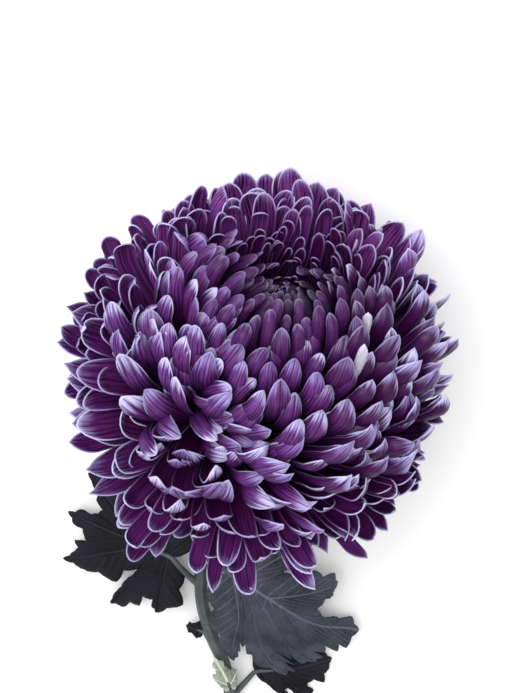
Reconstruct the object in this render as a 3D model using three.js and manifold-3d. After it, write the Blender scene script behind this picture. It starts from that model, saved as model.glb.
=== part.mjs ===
// A large ball-flowered chrysanthemum, cut with its stem and leaves and laid down on a surface.
// Millimetres, +Z up. The surface is z = 0 and the stem runs from the bloom towards -Y.
// Places are first given from the point on the surface below the bloom's centre, and the group
// at the end shifts them, so that the origin is at the middle of the whole cut flower's base.
import * as THREE from "three";
import { mergeGeometries, mergeVertices } from "three/addons/utils/BufferGeometryUtils.js";
import Module from "manifold-3d";

const wasm = await Module();
wasm.setup();

// ---- Driving dimensions ----
const BALL_RADIUS = 65.5; // from the bloom's centre to the tips of its side petals
const BALL_HEIGHT = 56; // of the bloom's centre, so that its lowest petals are pressed flat
const BLOOM_AXIS = new THREE.Vector3(0.176, 0.726, 0.665).normalize(); // where the eye looks
const BLOOM_TO_ORIGIN = new THREE.Vector3(7.4, 61.2, 0);

const PETALS = 220;
const LAST_POLAR_ANGLE = 128; // degrees from the eye to the outermost petals
const GOLDEN_ANGLE = 137.508; // degrees from each petal to the next
const PETAL_THICKNESS = 1.3;
const PETAL_ROOT = 5; // how deep a petal's root is sunk in the core
// [polar angle, degrees by which a petal's tip turns in towards the eye, or out if negative]
const PETAL_BEND = [[0, 45], [14, 50], [25, 38], [45, 30], [80, 22], [100, 10], [120, -4], [134, -16]];
const PETAL_ARM = 0.42; // share of a petal's length that is bent in towards the eye
const REACH_SPREAD = 6; // between the shortest and the longest of neighbouring petals
const SKIRT_REACH = 11; // extra length of the longest petals, on the side of the stem
const RECEPTACLE_RADIUS = 11; // the dome that the petals grow from
const RECEPTACLE_HEIGHT = -28; // of its middle, along the bloom's axis
const RECEPTACLE_SHARE = 0.74; // of a petal's polar angle, at its root
const PRESSED_HEIGHT = 0.1; // of a petal's middle layer where it is pressed on the surface
const PRESSED_SPOT = new THREE.Vector3(0, 5, 0);
const RUFFLED_SPOT = new THREE.Vector3(-19, -10, 58).normalize();

const CALYX_TOP = -31.3; // along the bloom's axis, from its centre
const CALYX_BOTTOM = -41;
const CALYX_RADIUS = 13;
const BRACT_ROWS = [
  { count: 12, radius: 10.5, height: -35.8, reach: 8.5, rise: 22 },
  { count: 9, radius: 6.5, height: -38.9, reach: 8.5, rise: 24 },
];

const BRACT_ROOT = 2.5; // how deep a bract's root is sunk in the cup

const STEM_RADIUS_AT_NECK = 2.3;
const STEM_RADIUS_AT_CUT = 3;
const STEM_CUT_SLANT = 0.7; // of the cut end, as a slope
const JOINT_GAP = 0.3; // left between pieces that touch

const LEAF_THICKNESS = 0.9;
const MIDRIB_THICKNESS = 2.2;
const LEAF_PUFF = 0.9; // how far a blade swells between its veins
const TOOTH_BITE = 0.16; // depth of the nicks between teeth, as a share of the blade's breadth

const degrees = THREE.MathUtils.degToRad;
const clamp = THREE.MathUtils.clamp;
const smoothstep = THREE.MathUtils.smoothstep;
const lerp = THREE.MathUtils.lerp;
const point = (x, y, z) => new THREE.Vector3(x, y, z);

function softFloor(height, floor, blend) {
  // Stays above the floor, and is the same height well over it
  return floor + blend * Math.log1p(Math.exp((height - floor) / blend));
}

// ---- Solids ----
function closedMesh(geometry) {
  // One closed shell of shared corners, without the slivers that collapse at tips
  const bare = geometry.clone();
  bare.deleteAttribute("normal");
  bare.deleteAttribute("uv");
  const merged = mergeVertices(bare, 1e-4);
  const corners = merged.index.array;
  const kept = [];
  for (let i = 0; i < corners.length; i += 3) {
    const [a, b, c] = corners.slice(i, i + 3);
    if (a !== b && b !== c && c !== a) kept.push(a, b, c);
  }
  merged.setIndex(kept);
  return merged;
}

function solid(geometry) {
  const closed = closedMesh(geometry);
  return new wasm.Manifold(new wasm.Mesh({
    numProp: 3,
    vertProperties: new Float32Array(closed.attributes.position.array),
    triVerts: new Uint32Array(closed.index.array),
  }));
}

function geometryOf(manifold) {
  const mesh = manifold.getMesh();
  const geometry = new THREE.BufferGeometry();
  geometry.setAttribute("position", new THREE.BufferAttribute(mesh.vertProperties, 3));
  geometry.setIndex(new THREE.BufferAttribute(mesh.triVerts, 1));
  geometry.computeVertexNormals();
  return geometry;
}

function largestPiece(manifold) {
  // Leaves out loose scraps and the skins of sealed hollows
  const pieces = manifold.decompose();
  return pieces.reduce((best, piece) => (piece.volume() > best.volume() ? piece : best));
}

function aboveSurface(manifold) {
  const ground = new THREE.BoxGeometry(600, 600, 100).translate(0, 0, -50);
  return manifold.subtract(solid(ground));
}

function flipped(geometry) {
  const corners = geometry.index.array;
  for (let i = 0; i < corners.length; i += 3) {
    [corners[i], corners[i + 1]] = [corners[i + 1], corners[i]];
  }
  return geometry;
}

function moveCorners(geometry, place) {
  // Moves every corner to place(x, y, z)
  const position = geometry.attributes.position;
  for (let i = 0; i < position.count; i += 1) {
    const to = place(position.getX(i), position.getY(i), position.getZ(i));
    position.setXYZ(i, to.x, to.y, to.z);
  }
  return geometry;
}

function bentTube(curve, radiusAt, sides, steps, endSlant = 0) {
  // A round rod along a curve; endSlant cuts its far end on a slope
  const frames = curve.computeFrenetFrames(steps);
  const rod = new THREE.CylinderGeometry(1, 1, 1, sides, steps);
  return moveCorners(rod, (x, y, z) => {
    const along = y + 0.5;
    const step = Math.round(along * steps);
    const radius = radiusAt(along);
    const slant = step === steps ? endSlant * radius * x : 0;
    return curve.getPointAt(along)
      .addScaledVector(frames.normals[step], x * radius)
      .addScaledVector(frames.binormals[step], -z * radius)
      .addScaledVector(frames.tangents[step], slant);
  });
}

// ---- Chance, the same on every run ----
function randomFrom(seed) {
  let state = seed;
  return () => {
    state = (state + 0x6d2b79f5) | 0;
    let mixed = Math.imul(state ^ (state >>> 15), 1 | state);
    mixed = (mixed + Math.imul(mixed ^ (mixed >>> 7), 61 | mixed)) ^ mixed;
    return ((mixed ^ (mixed >>> 14)) >>> 0) / 4294967296;
  };
}

// ---- The bloom ----
// Its own frame has its centre at the origin, +Z along BLOOM_AXIS and +X nearest the part's +X.
const bloomSide = point(1, 0, 0).addScaledVector(BLOOM_AXIS, -BLOOM_AXIS.x).normalize();
const bloomFrame = new THREE.Matrix4()
  .makeBasis(bloomSide, BLOOM_AXIS.clone().cross(bloomSide), BLOOM_AXIS)
  .setPosition(0, 0, BALL_HEIGHT);
const toBloom = bloomFrame.clone().invert();
const stemwards = point(0, -0.956, 0.292).transformDirection(toBloom);
const ruffled = RUFFLED_SPOT.clone().transformDirection(toBloom);

function direction(polar, turn) {
  // From the bloom's centre, polar degrees off its axis and turned round it
  const outwards = Math.sin(degrees(polar));
  return point(
    outwards * Math.cos(degrees(turn)),
    outwards * Math.sin(degrees(turn)),
    Math.cos(degrees(polar)),
  );
}

function tipRadius(polar) {
  // The eye is a hollow in the ball
  const eye = 0.2 * Math.exp(-((polar / 15) ** 2));
  const back = 4 * smoothstep(polar, 112, 132);
  return BALL_RADIUS * (1 - eye) - 2.5 * (1 - smoothstep(polar, 25, 55)) - back;
}

function coreRadius(polar) {
  return tipRadius(polar) - 9 - 9 * smoothstep(polar, 0, 40);
}

function petalBend(polar) {
  const next = PETAL_BEND.findIndex((stop) => polar <= stop[0]) || 1;
  const [from, to] = [PETAL_BEND[next - 1], PETAL_BEND[next]];
  return lerp(from[1], to[1], (polar - from[0]) / (to[0] - from[0]));
}

function petalWidth(polar) {
  return 6 + 5.5 * smoothstep(polar, 4, 45) + 3.5 * smoothstep(polar, 45, 85);
}

function pressed(place) {
  // A place in the bloom's frame, put where the flower's weight presses it on the surface:
  // what would lie lower is laid flat and spread outwards
  const spread = place.clone().applyMatrix4(bloomFrame);
  const height = softFloor(spread.z, PRESSED_HEIGHT, 1);
  const outwards = point(spread.x - PRESSED_SPOT.x, spread.y - PRESSED_SPOT.y, 0).normalize();
  spread.addScaledVector(outwards, 0.8 * (height - spread.z));
  return spread.setZ(height);
}

function petal(polar, turn, random) {
  const facing = direction(polar, turn);
  const ruffle = Math.exp(-((facing.angleTo(ruffled) / 0.42) ** 2));
  const longer = random() - 0.4;
  const skirt = smoothstep(polar, 88, 122) * smoothstep(facing.dot(stemwards), 0.55, 0.98);
  const reach = tipRadius(polar) + REACH_SPREAD * longer + SKIRT_REACH * skirt - 3 * ruffle;
  const bend = petalBend(polar) + 18 * (random() - 0.5) - 30 * ruffle * random();
  const lean = (random() - 0.5) * (5 + 8 * ruffle);
  const twist = degrees((random() - 0.5) * (34 + 60 * ruffle));
  const width = petalWidth(polar) * (0.9 + 0.2 * random());

  const across = point(0, 0, 1).cross(direction(90, turn));
  const root = direction(polar * RECEPTACLE_SHARE, turn).multiplyScalar(RECEPTACLE_RADIUS)
    .add(point(0, 0, RECEPTACLE_HEIGHT));
  const tip = facing.clone().multiplyScalar(reach).addScaledVector(across, lean);
  const arm = PETAL_ARM * tip.distanceTo(root);
  const elbow = tip.clone().addScaledVector(direction(polar - bend, turn), -arm);
  const midline = new THREE.QuadraticBezierCurve3(root, elbow, tip);

  let start = 0.9;
  while (start > 0.3 && midline.getPoint(start).length() > coreRadius(polar) - PETAL_ROOT) {
    start -= 0.02;
  }
  const shares = [0, 0.55, 0.86, 1];
  const breadths = [0.72, 1, 0.74, 0];
  const rows = shares.length - 1;
  const stations = shares.map((share) => pressed(midline.getPoint(lerp(start, 1, share))));
  const spine = new THREE.CatmullRomCurve3(stations);
  const crosswise = across.transformDirection(bloomFrame);
  const blade = new THREE.CylinderGeometry(0, 1, 1, 4, rows);
  return moveCorners(blade, (x, y, z) => {
    const row = Math.round((y + 0.5) * rows);
    const taper = Math.max(1 - row / rows, 1e-9);
    const side = Math.round(x / taper);
    const face = Math.round(z / taper);
    const tangent = spine.getTangent(row / rows);
    const sideways = crosswise.clone().applyAxisAngle(tangent, twist * (row / rows));
    const back = sideways.clone().cross(tangent).normalize();
    const half = (breadths[row] * width) / 2;
    const lift = 0.5 * half * Math.abs(side) * smoothstep(stations[row].z, 0.5, 9);
    return stations[row].clone()
      .addScaledVector(sideways, side * half)
      .addScaledVector(back, face * PETAL_THICKNESS * 0.5 - lift);
  });
}

function bloomCore() {
  // A plain ball with a dimple, wholly behind the petals, closed by a flat underside
  const profile = [point(0, coreRadius(0), 0)];
  for (const polar of [9, 18, 30, 45, 60, 75, 90, 105, 118, LAST_POLAR_ANGLE]) {
    const radius = coreRadius(polar);
    profile.push(point(radius * Math.sin(degrees(polar)), radius * Math.cos(degrees(polar)), 0));
  }
  profile.push(point(CALYX_RADIUS, CALYX_TOP + JOINT_GAP, 0));
  profile.push(point(0, CALYX_TOP + JOINT_GAP, 0));
  return new THREE.LatheGeometry(profile.reverse(), 20).rotateX(Math.PI / 2);
}

function bloom() {
  const random = randomFrom(5);
  const parts = [solid(bloomCore().applyMatrix4(bloomFrame))];
  for (let i = 0; i < PETALS; i += 1) {
    const share = (i + 0.5) / PETALS;
    const polar = LAST_POLAR_ANGLE * share ** 0.75;
    const turn = i * GOLDEN_ANGLE + 8 * (random() - 0.5);
    parts.push(solid(petal(polar, turn, random)));
  }
  return largestPiece(aboveSurface(wasm.Manifold.union(parts)));
}

// ---- The calyx ----
function bract(row, turn) {
  const outwards = direction(90 - row.rise, turn);
  const root = direction(90, turn).multiplyScalar(row.radius).add(point(0, 0, row.height))
    .addScaledVector(outwards, -BRACT_ROOT);
  const scale = new THREE.CylinderGeometry(0, 1, 1, 4, 2);
  const across = point(0, 0, 1).cross(direction(90, turn));
  const back = across.clone().cross(outwards).normalize();
  const breadths = [2.4, 2, 0];
  return moveCorners(scale, (x, y, z) => {
    const step = Math.round((y + 0.5) * 2);
    const taper = Math.max(1 - step / 2, 1e-9);
    return root.clone()
      .addScaledVector(outwards, (step / 2) * (row.reach + BRACT_ROOT))
      .addScaledVector(across, Math.round(x / taper) * breadths[step])
      .addScaledVector(back, Math.round(z / taper) * 0.6);
  });
}

function calyx() {
  const profile = [
    point(0, CALYX_BOTTOM, 0),
    point(STEM_RADIUS_AT_NECK + 0.9, CALYX_BOTTOM, 0),
    point(5, CALYX_BOTTOM + 1.2, 0),
    point(9, CALYX_BOTTOM + 3.6, 0),
    point(CALYX_RADIUS - 0.6, CALYX_TOP - 2.4, 0),
    point(CALYX_RADIUS - 1, CALYX_TOP, 0),
    point(0, CALYX_TOP, 0),
  ];
  const parts = [solid(new THREE.LatheGeometry(profile, 12).rotateX(Math.PI / 2))];
  BRACT_ROWS.forEach((row, index) => {
    for (let i = 0; i < row.count; i += 1) {
      parts.push(solid(bract(row, ((i + 0.5 * index) * 360) / row.count)));
    }
  });
  return largestPiece(wasm.Manifold.union(parts)).transform(bloomFrame.elements);
}

// ---- The stem ----
const neck = point(0, 0, CALYX_BOTTOM - JOINT_GAP).applyMatrix4(bloomFrame);
const stemCurve = new THREE.CatmullRomCurve3([
  neck,
  neck.clone().addScaledVector(BLOOM_AXIS, -11),
  point(-15.5, -54, 16),
  point(-21.3, -76, 12.6),
  point(-23.8, -96, 10.6),
  point(-24.4, -118, 9),
  point(-20.9, -136, 7.4),
  point(-15.4, -152, 5.9),
  point(-12.3, -169, 4.3),
  point(-10, -187, STEM_RADIUS_AT_CUT),
]);

function stemRadius(along) {
  const flare = 1.2 * Math.exp(-((along / 0.025) ** 2));
  return lerp(STEM_RADIUS_AT_NECK, STEM_RADIUS_AT_CUT, along) + flare;
}

function stem() {
  return aboveSurface(solid(bentTube(stemCurve, stemRadius, 8, 30, STEM_CUT_SLANT)));
}

const stemClearance = solid(bentTube(stemCurve, (along) => stemRadius(along) + JOINT_GAP, 8, 30));

// ---- The leaves ----
// A leaf is drawn on its midrib: each place is [distance along the midrib, distance to its left],
// with right negative. A lobe has a vein from its root on the midrib to its tip, and an edge on
// each side of it, from the notch outwards. The last lobe's vein is the end of the midrib.
// Away from the midrib a blade droops with the square of the distance, down to its lowest.
const LEAVES = {
  leaf_left: {
    midrib: [[-36, -98, 13], [-56, -88.5, 13], [-79, -81, 6]],
    stalk: [[-24.2, -113.3, 9.2], [-29, -107.5, 11.2], [-33, -102.3, 12.6]],
    stalkRadius: 1.5,
    droop: 0.0072,
    lowest: 1.2,
    roots: [2, 5.5, 12],
    divides: [0, 3.5, 8.5, 20],
    left: [
      { lower: [[-8, 5], [-13.5, 19]], tip: [-5.4, 29.7], upper: [[0.2, 23.5], [-2.2, 27]] },
      {
        lower: [[0.2, 23.5], [2.1, 29.3], [7.2, 33.9]],
        tip: [13.9, 35],
        upper: [[10.2, 10.5], [12.8, 19], [14.4, 28.9]],
      },
      {
        lower: [[10.2, 10.5], [16.1, 21.7], [34, 23]],
        tip: [44, 22.4],
        upper: [[37.7, 6.9], [41.3, 10.8], [40, 16]],
      },
      { lower: [[37.7, 6.9], [43.8, 3.6]] },
    ],
    right: [
      { lower: [[-5, -5], [-9, -12]], tip: [-8, -20], upper: [[1, -14], [-3, -19]] },
      {
        lower: [[1, -14], [2, -24], [6, -31]],
        tip: [14, -33.5],
        upper: [[13, -9], [14.5, -18], [15.5, -27]],
      },
      {
        lower: [[13, -9], [20, -20], [32, -25]],
        tip: [43.8, -18.6],
        upper: [[34.7, -4.9], [37, -10], [39.5, -14.4]],
      },
      { lower: [[34.7, -4.9], [42.1, -3.7]] },
    ],
  },
  leaf_right: {
    midrib: [[-13.3, -98.4, 24], [2.8, -109.6, 25], [22.2, -127.9, 14], [42.1, -135.7, 4]],
    stalk: [[-22.6, -85.6, 11.4], [-20.8, -88.6, 17], [-17.6, -93.4, 21.6]],
    stalkRadius: 1.6,
    droop: 0.0082,
    lowest: 5.6,
    roots: [3, 6.5, 21],
    divides: [0, 5, 12, 30],
    left: [
      { lower: [[-5, 7], [-8, 14]], tip: [-6, 22], upper: [[3, 14], [0, 20]] },
      { lower: [[3, 14], [8, 24]], tip: [20, 30], upper: [[18, 12], [21, 22]] },
      {
        lower: [[18, 12], [27, 20], [36.5, 23.5]],
        tip: [44, 20.5],
        upper: [[50.4, 4.6], [45, 9.5], [48.3, 14.7]],
      },
      { lower: [[50.4, 4.6], [57.4, 5], [66.6, 5.5]] },
    ],
    right: [
      {
        lower: [[-1.4, -13], [6, -24.5], [25, -34]],
        tip: [39.7, -38.9],
        upper: [[34.9, -28.3], [36.8, -31.5], [38.6, -35]],
      },
      {
        lower: [[34.9, -28.3], [39.3, -30.6], [45, -33.8]],
        tip: [53, -31],
        upper: [[50.7, -21.5], [53, -24], [54.3, -27.5]],
      },
      {
        lower: [[50.7, -21.5], [54.5, -22.3]],
        tip: [59, -19.5],
        upper: [[60.5, -13.5], [60.6, -16.5]],
      },
      { lower: [[60.5, -13.5], [66, -12.4], [70, -9.8]] },
    ],
  },
  leaf_lower: {
    midrib: [[-2, -157.2, 3.6], [14, -156.5, 2.6], [31, -152, 1.4]],
    stalk: [[-12.2, -168.4, 4.4], [-8.6, -164.4, 4.6], [-5, -160.2, 4.2]],
    stalkRadius: 1.4,
    droop: 0.011,
    lowest: 1,
    roots: [2.5, 8.5],
    divides: [0, 5.5, 14],
    left: [
      { lower: [[-1, 5], [1, 10]], tip: [6, 17], upper: [[11, 9], [10.5, 14]] },
      { lower: [[11, 9], [14.5, 15]], tip: [22, 16], upper: [[22, 7], [24.4, 11.6]] },
      { lower: [[22, 7], [28, 7.6], [31.4, 4]] },
    ],
    right: [
      { lower: [[2, -4], [6, -7.4]], tip: [11.5, -14.5], upper: [[13.3, -9.4], [13.2, -12.6]] },
      {
        lower: [[13.3, -9.4], [16, -14.4]],
        tip: [20.8, -16.6],
        upper: [[20.8, -8.6], [22.2, -13]],
      },
      { lower: [[20.8, -8.6], [27.4, -10.6], [31, -4.6]] },
    ],
  },
  leaf_young: {
    midrib: [[-12.2, -163, 9.6], [-15, -154, 12], [-19.2, -144.8, 13.4]],
    stalk: [[-12.7, -166.6, 5], [-12.4, -165.4, 7.2], [-12.2, -164.4, 8.6]],
    stalkRadius: 1.1,
    droop: 0.02,
    lowest: 8,
    roots: [3.5],
    divides: [0, 9],
    left: [
      { lower: [[1, 2.4], [4, 3.6]], tip: [10.5, 5.4], upper: [[12.5, 2.6], [12.4, 4.4]] },
      { lower: [[12.5, 2.6], [17, 2.4]] },
    ],
    right: [
      { lower: [[1, -2.4], [4, -3.6]], tip: [10, -5.6], upper: [[12.5, -2.8], [12, -4.4]] },
      { lower: [[12.5, -2.8], [17, -2.6]] },
    ],
  },
  leaf_small: {
    midrib: [[-24.4, -134.6, 8.6], [-27.6, -133.8, 8.6], [-31.4, -133.4, 7]],
    stalk: [[-21.3, -135, 7.6], [-22.6, -134.9, 8], [-23.6, -134.7, 8.4]],
    stalkRadius: 0.9,
    droop: 0.03,
    lowest: 3,
    roots: [1],
    divides: [0, 2.6],
    left: [
      { lower: [[-0.6, 2.2]], tip: [1.4, 4.6], upper: [[3.4, 2.6]] },
      { lower: [[3.4, 2.6], [6, 2.4]] },
    ],
    right: [
      { lower: [[-0.6, -2.2]], tip: [1.6, -5], upper: [[3.4, -2.8]] },
      { lower: [[3.4, -2.8], [6, -2.6]] },
    ],
  },
};

const between = (from, to, share) => from.map((value, i) => lerp(value, to[i], share));

function atShare(line, share) {
  // A place on a line of equal steps
  const step = clamp(Math.floor(share * (line.length - 1)), 0, line.length - 2);
  return between(line[step], line[step + 1], share * (line.length - 1) - step);
}

function toothed(edge, vein) {
  // Sets a nick between each two points of the edge after its first stretch
  const line = [edge[0]];
  for (let i = 1; i < edge.length; i += 1) {
    if (i > 1) {
      const middle = between(edge[i - 1], edge[i], 0.5);
      line.push(between(middle, atShare(vein, (i - 0.5) / (edge.length - 1)), TOOTH_BITE));
    }
    line.push(edge[i]);
  }
  return line;
}

function halfLobes(leaf, length) {
  // Each is a vein, an edge, and whether the edge lies left of the vein
  const halves = [];
  for (const side of ["left", "right"]) {
    leaf[side].forEach((lobe, index) => {
      const last = index === leaf.roots.length;
      const tip = last ? [length, 0] : lobe.tip;
      const vein = [[last ? leaf.divides[index] : leaf.roots[index], 0], tip];
      const turn = side === "left" ? 1 : -1;
      const lower = toothed([[leaf.divides[index], 0], ...lobe.lower, tip], vein);
      if (last) {
        halves.push({ vein, edge: lower, turn: turn });
        return;
      }
      const upper = toothed([[leaf.divides[index + 1], 0], ...lobe.upper, tip], vein);
      halves.push({ vein, edge: lower, turn, base: index === 0 });
      halves.push({ vein, edge: upper, turn: -turn });
    });
  }
  return halves;
}

function blade(leaf) {
  const midrib = new THREE.CatmullRomCurve3(leaf.midrib.map((place) => point(...place)));
  const length = midrib.getLength();
  const spans = 2;

  function place(spot, face, puff) {
    const [along, aside] = spot;
    const share = clamp(along / length, 0, 1);
    const tangent = midrib.getTangentAt(share);
    const leftwards = point(-tangent.y, tangent.x, 0).normalize();
    const spine = midrib.getPointAt(share).addScaledVector(tangent, along - share * length);
    const rib = Math.exp(-((aside / 2.2) ** 2)) * (1 - share);
    const thickness = lerp(LEAF_THICKNESS, MIDRIB_THICKNESS, face < 0 ? rib : 0);
    const drooped = spine.z - leaf.droop * aside * aside + puff;
    const height = softFloor(drooped, leaf.lowest, 1.2);
    spine.addScaledVector(leftwards, aside);
    return point(spine.x, spine.y, height + (face * thickness) / 2);
  }

  const sheets = [];
  for (const half of halfLobes(leaf, length)) {
    const rungs = half.edge.length - 1;
    const spotAt = (rung, span) => between(
      atShare(half.vein, rung), atShare(half.edge, rung), span);
    for (const face of [1, -1]) {
      const sheet = new THREE.PlaneGeometry(1, 1, rungs, spans);
      moveCorners(sheet, (x, y) => {
        const span = 0.5 - y;
        const puff = LEAF_PUFF * Math.sin(Math.PI * span) * Math.sin(Math.PI * (x + 0.5));
        return place(spotAt(x + 0.5, span), face, puff);
      });
      sheets.push(face * half.turn > 0 ? flipped(sheet) : sheet);
    }
    const first = half.base ? 0 : 1;
    const rim = new THREE.PlaneGeometry(1, 1, rungs - first, 1);
    moveCorners(rim, (x, y) => {
      const rung = (first + Math.round((x + 0.5) * (rungs - first))) / rungs;
      return place(spotAt(rung, 1), y > 0 ? 1 : -1, 0);
    });
    sheets.push(half.turn > 0 ? flipped(rim) : rim);
  }
  return solid(mergeGeometries(sheets));
}

function leafStalk(leaf) {
  // Runs from inside the stem to a little way under the blade's midrib
  const midrib = new THREE.CatmullRomCurve3(leaf.midrib.map((place) => point(...place)));
  const reach = Math.min(8, midrib.getLength() * 0.3) / midrib.getLength();
  const route = [
    ...leaf.stalk.map((place) => point(...place)),
    midrib.getPointAt(0),
    midrib.getPointAt(reach / 2).setZ(midrib.getPointAt(reach / 2).z - 0.5),
    midrib.getPointAt(reach).setZ(midrib.getPointAt(reach).z - 0.6),
  ];
  const radiusAt = (along) => leaf.stalkRadius * (1.1 - 0.6 * along);
  return solid(bentTube(new THREE.CatmullRomCurve3(route), radiusAt, 6, 8));
}

function leafSolid(leaf) {
  return largestPiece(blade(leaf).add(leafStalk(leaf)).subtract(stemClearance));
}

// ---- Materials ----
const matte = (color, roughness) => new THREE.MeshStandardMaterial({ color, roughness, metalness: 0 });
const petalMaterial = matte(0x5a2a6e, 0.55);
const calyxMaterial = matte(0x5c6b4a, 0.6);
const stemMaterial = matte(0x78826f, 0.6);
const darkLeafMaterial = matte(0x2c2d34, 0.6);
const leafMaterial = matte(0x474c58, 0.6);
const youngLeafMaterial = matte(0x93a08a, 0.6);

const LEAF_MATERIALS = {
  leaf_left: darkLeafMaterial,
  leaf_right: leafMaterial,
  leaf_lower: darkLeafMaterial,
  leaf_young: youngLeafMaterial,
  leaf_small: darkLeafMaterial,
};

// ---- The cut flower ----
function piece(name, manifold, material) {
  const mesh = new THREE.Mesh(geometryOf(manifold), material);
  mesh.name = name;
  return mesh;
}

const group = new THREE.Group();
group.name = "cut_chrysanthemum";
group.position.copy(BLOOM_TO_ORIGIN);
group.add(piece("bloom", bloom(), petalMaterial));
group.add(piece("calyx", calyx(), calyxMaterial));
group.add(piece("stem", stem(), stemMaterial));
for (const [name, leaf] of Object.entries(LEAVES)) {
  group.add(piece(name, leafSolid(leaf), LEAF_MATERIALS[name]));
}

export default group;
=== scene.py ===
# A large ball-flowered chrysanthemum, cut with its stem and leaves and laid down on a surface.
# Its shapes are worked out in millimetres, from the point on the surface below the bloom's
# centre, with the stem running towards -Y. FLOWER_PLACE puts them in the frame, in metres.
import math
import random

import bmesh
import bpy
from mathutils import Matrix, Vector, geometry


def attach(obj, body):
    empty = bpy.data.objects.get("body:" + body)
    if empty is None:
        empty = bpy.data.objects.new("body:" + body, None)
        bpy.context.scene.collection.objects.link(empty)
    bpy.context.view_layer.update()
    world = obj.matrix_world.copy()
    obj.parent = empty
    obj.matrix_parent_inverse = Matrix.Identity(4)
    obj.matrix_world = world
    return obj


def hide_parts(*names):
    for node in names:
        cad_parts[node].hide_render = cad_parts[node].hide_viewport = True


bl_info = {
    "name": "Cut chrysanthemum",
    "version": (1, 0, 0),
    "blender": (4, 5, 0),
    "location": "View3D > Sidebar > Flower",
    "description": "Builds a ball-flowered chrysanthemum with its calyx, stem and leaves",
    "category": "Add Mesh",
}

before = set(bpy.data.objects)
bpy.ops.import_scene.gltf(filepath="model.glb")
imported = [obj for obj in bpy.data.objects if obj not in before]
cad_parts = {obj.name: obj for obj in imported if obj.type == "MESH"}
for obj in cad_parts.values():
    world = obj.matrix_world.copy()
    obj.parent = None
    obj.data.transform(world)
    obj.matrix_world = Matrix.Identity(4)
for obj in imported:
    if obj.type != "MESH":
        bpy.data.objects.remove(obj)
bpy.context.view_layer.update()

MM = 0.001
FLOWER_PLACE = Matrix.Translation((0.0074, 0.0612, 0)) @ Matrix.Scale(MM, 4)
UPWARDS = Vector((0, 0.956, -0.292))  # along the flower, from the stem to the top of the bloom
TOWARDS = Vector((0, 0.292, 0.956))  # square to it, from the surface to whoever looks down on it
SEED = 11

# ---- The bloom's build ----
BLOOM_AXIS = Vector((0.176, 0.726, 0.665)).normalized()  # where the eye looks
BALL_HEIGHT = 56  # of the bloom's centre
LAST_POLAR_ANGLE = 128  # degrees from the eye to the outermost petals
GOLDEN_ANGLE = 137.508  # degrees from each petal to the next
TURN_SPREAD = 10  # degrees
RECEPTACLE_RADIUS = 11
RECEPTACLE_HEIGHT = -28  # of its middle, along the bloom's axis
RECEPTACLE_SHARE = 0.74  # of a petal's polar angle, at its root
PRESSED_SPOT = Vector((0, 5, 0))  # the petals under the bloom are spread outwards from here,
PRESSED_OUT = 0.8  # by this share of how far they are pressed up
CALYX_TOP = -31.3  # along the bloom's axis, from its centre
CALYX_BOTTOM = -41
EYE_HOLLOW = 0.2  # how deep the eye is, as a share of the ball's radius
EYE_BREADTH = 15  # degrees
SHOULDER_DROP = 2.5  # how much less far petals reach round the eye
BACK_DROP = 4  # and on the stem's side
THINNING = 4  # one petal in this many is left out where the petals are broad or tousled
THINNED_FROM = {"fan": 0.5, "ruffle": 0.35}  # a place's shares in those regions

# Places on the bloom are given as seen from above: (to the right, upwards) from its middle
RUFFLED_SPOT = (-18, -30)  # where the petals are tousled
RUFFLED_BREADTH = 20
OPEN_SPOT = (9, 44)  # above the eye, where the petals hardly curl
OPEN_BREADTH = 15
BLEACHED_SPOTS = ((34.5, 13), (29, 2.5))  # where a petal has withered to a pale roll
BLEACHED_BREADTH = 3
BLEACHED_WIDTH = 0.5  # as a share of another petal's
BLEACHED_CURL = 40  # degrees
BLEACHED_REACH = 6  # how far it stands out
BLEACHED_TIP = 2.5  # more than the 2 from which the finish shows a petal withered
PALE_SPOTS = ((-26, 3), (-20, 22), (-38, -9), (-43, -15), (32, 31), (16, 2), (49, 3))
PALE_BREADTH = 3.75
PALE_TIP = 1.3  # 1 is the palest tip elsewhere
# Where more petals grow: (place, breadth, count)
CROWDED_SPOTS = (
    (RUFFLED_SPOT, 20, 16),
    ((36, -32), 15, 18),
    ((-34, 8), 14, 12),
    ((-14, 22), 9, 8),
    ((-15, 4), 8, 8),
)
# Where petals reach further out, or less far: (place, breadth, extra reach)
REACH_SPOTS = (
    ((7, 33), 8, -8),  # a dark hollow beside the heart
    ((9, 62), 3.5, 5),  # the petal that stands highest
    ((-35, -52), 9, 6),  # petals that hang down
    ((-35, -52), 4, 8),  # the longest of them
)
# Where the ball is flatter: (axis, its cosine where that starts and where it is full, how far)
FLATTER_SIDES = ((0, 0.8, 0.97, 3.8), (1, 0.6, 0.95, 4.5), (2, 0.8, 0.95, 1.5))

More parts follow.
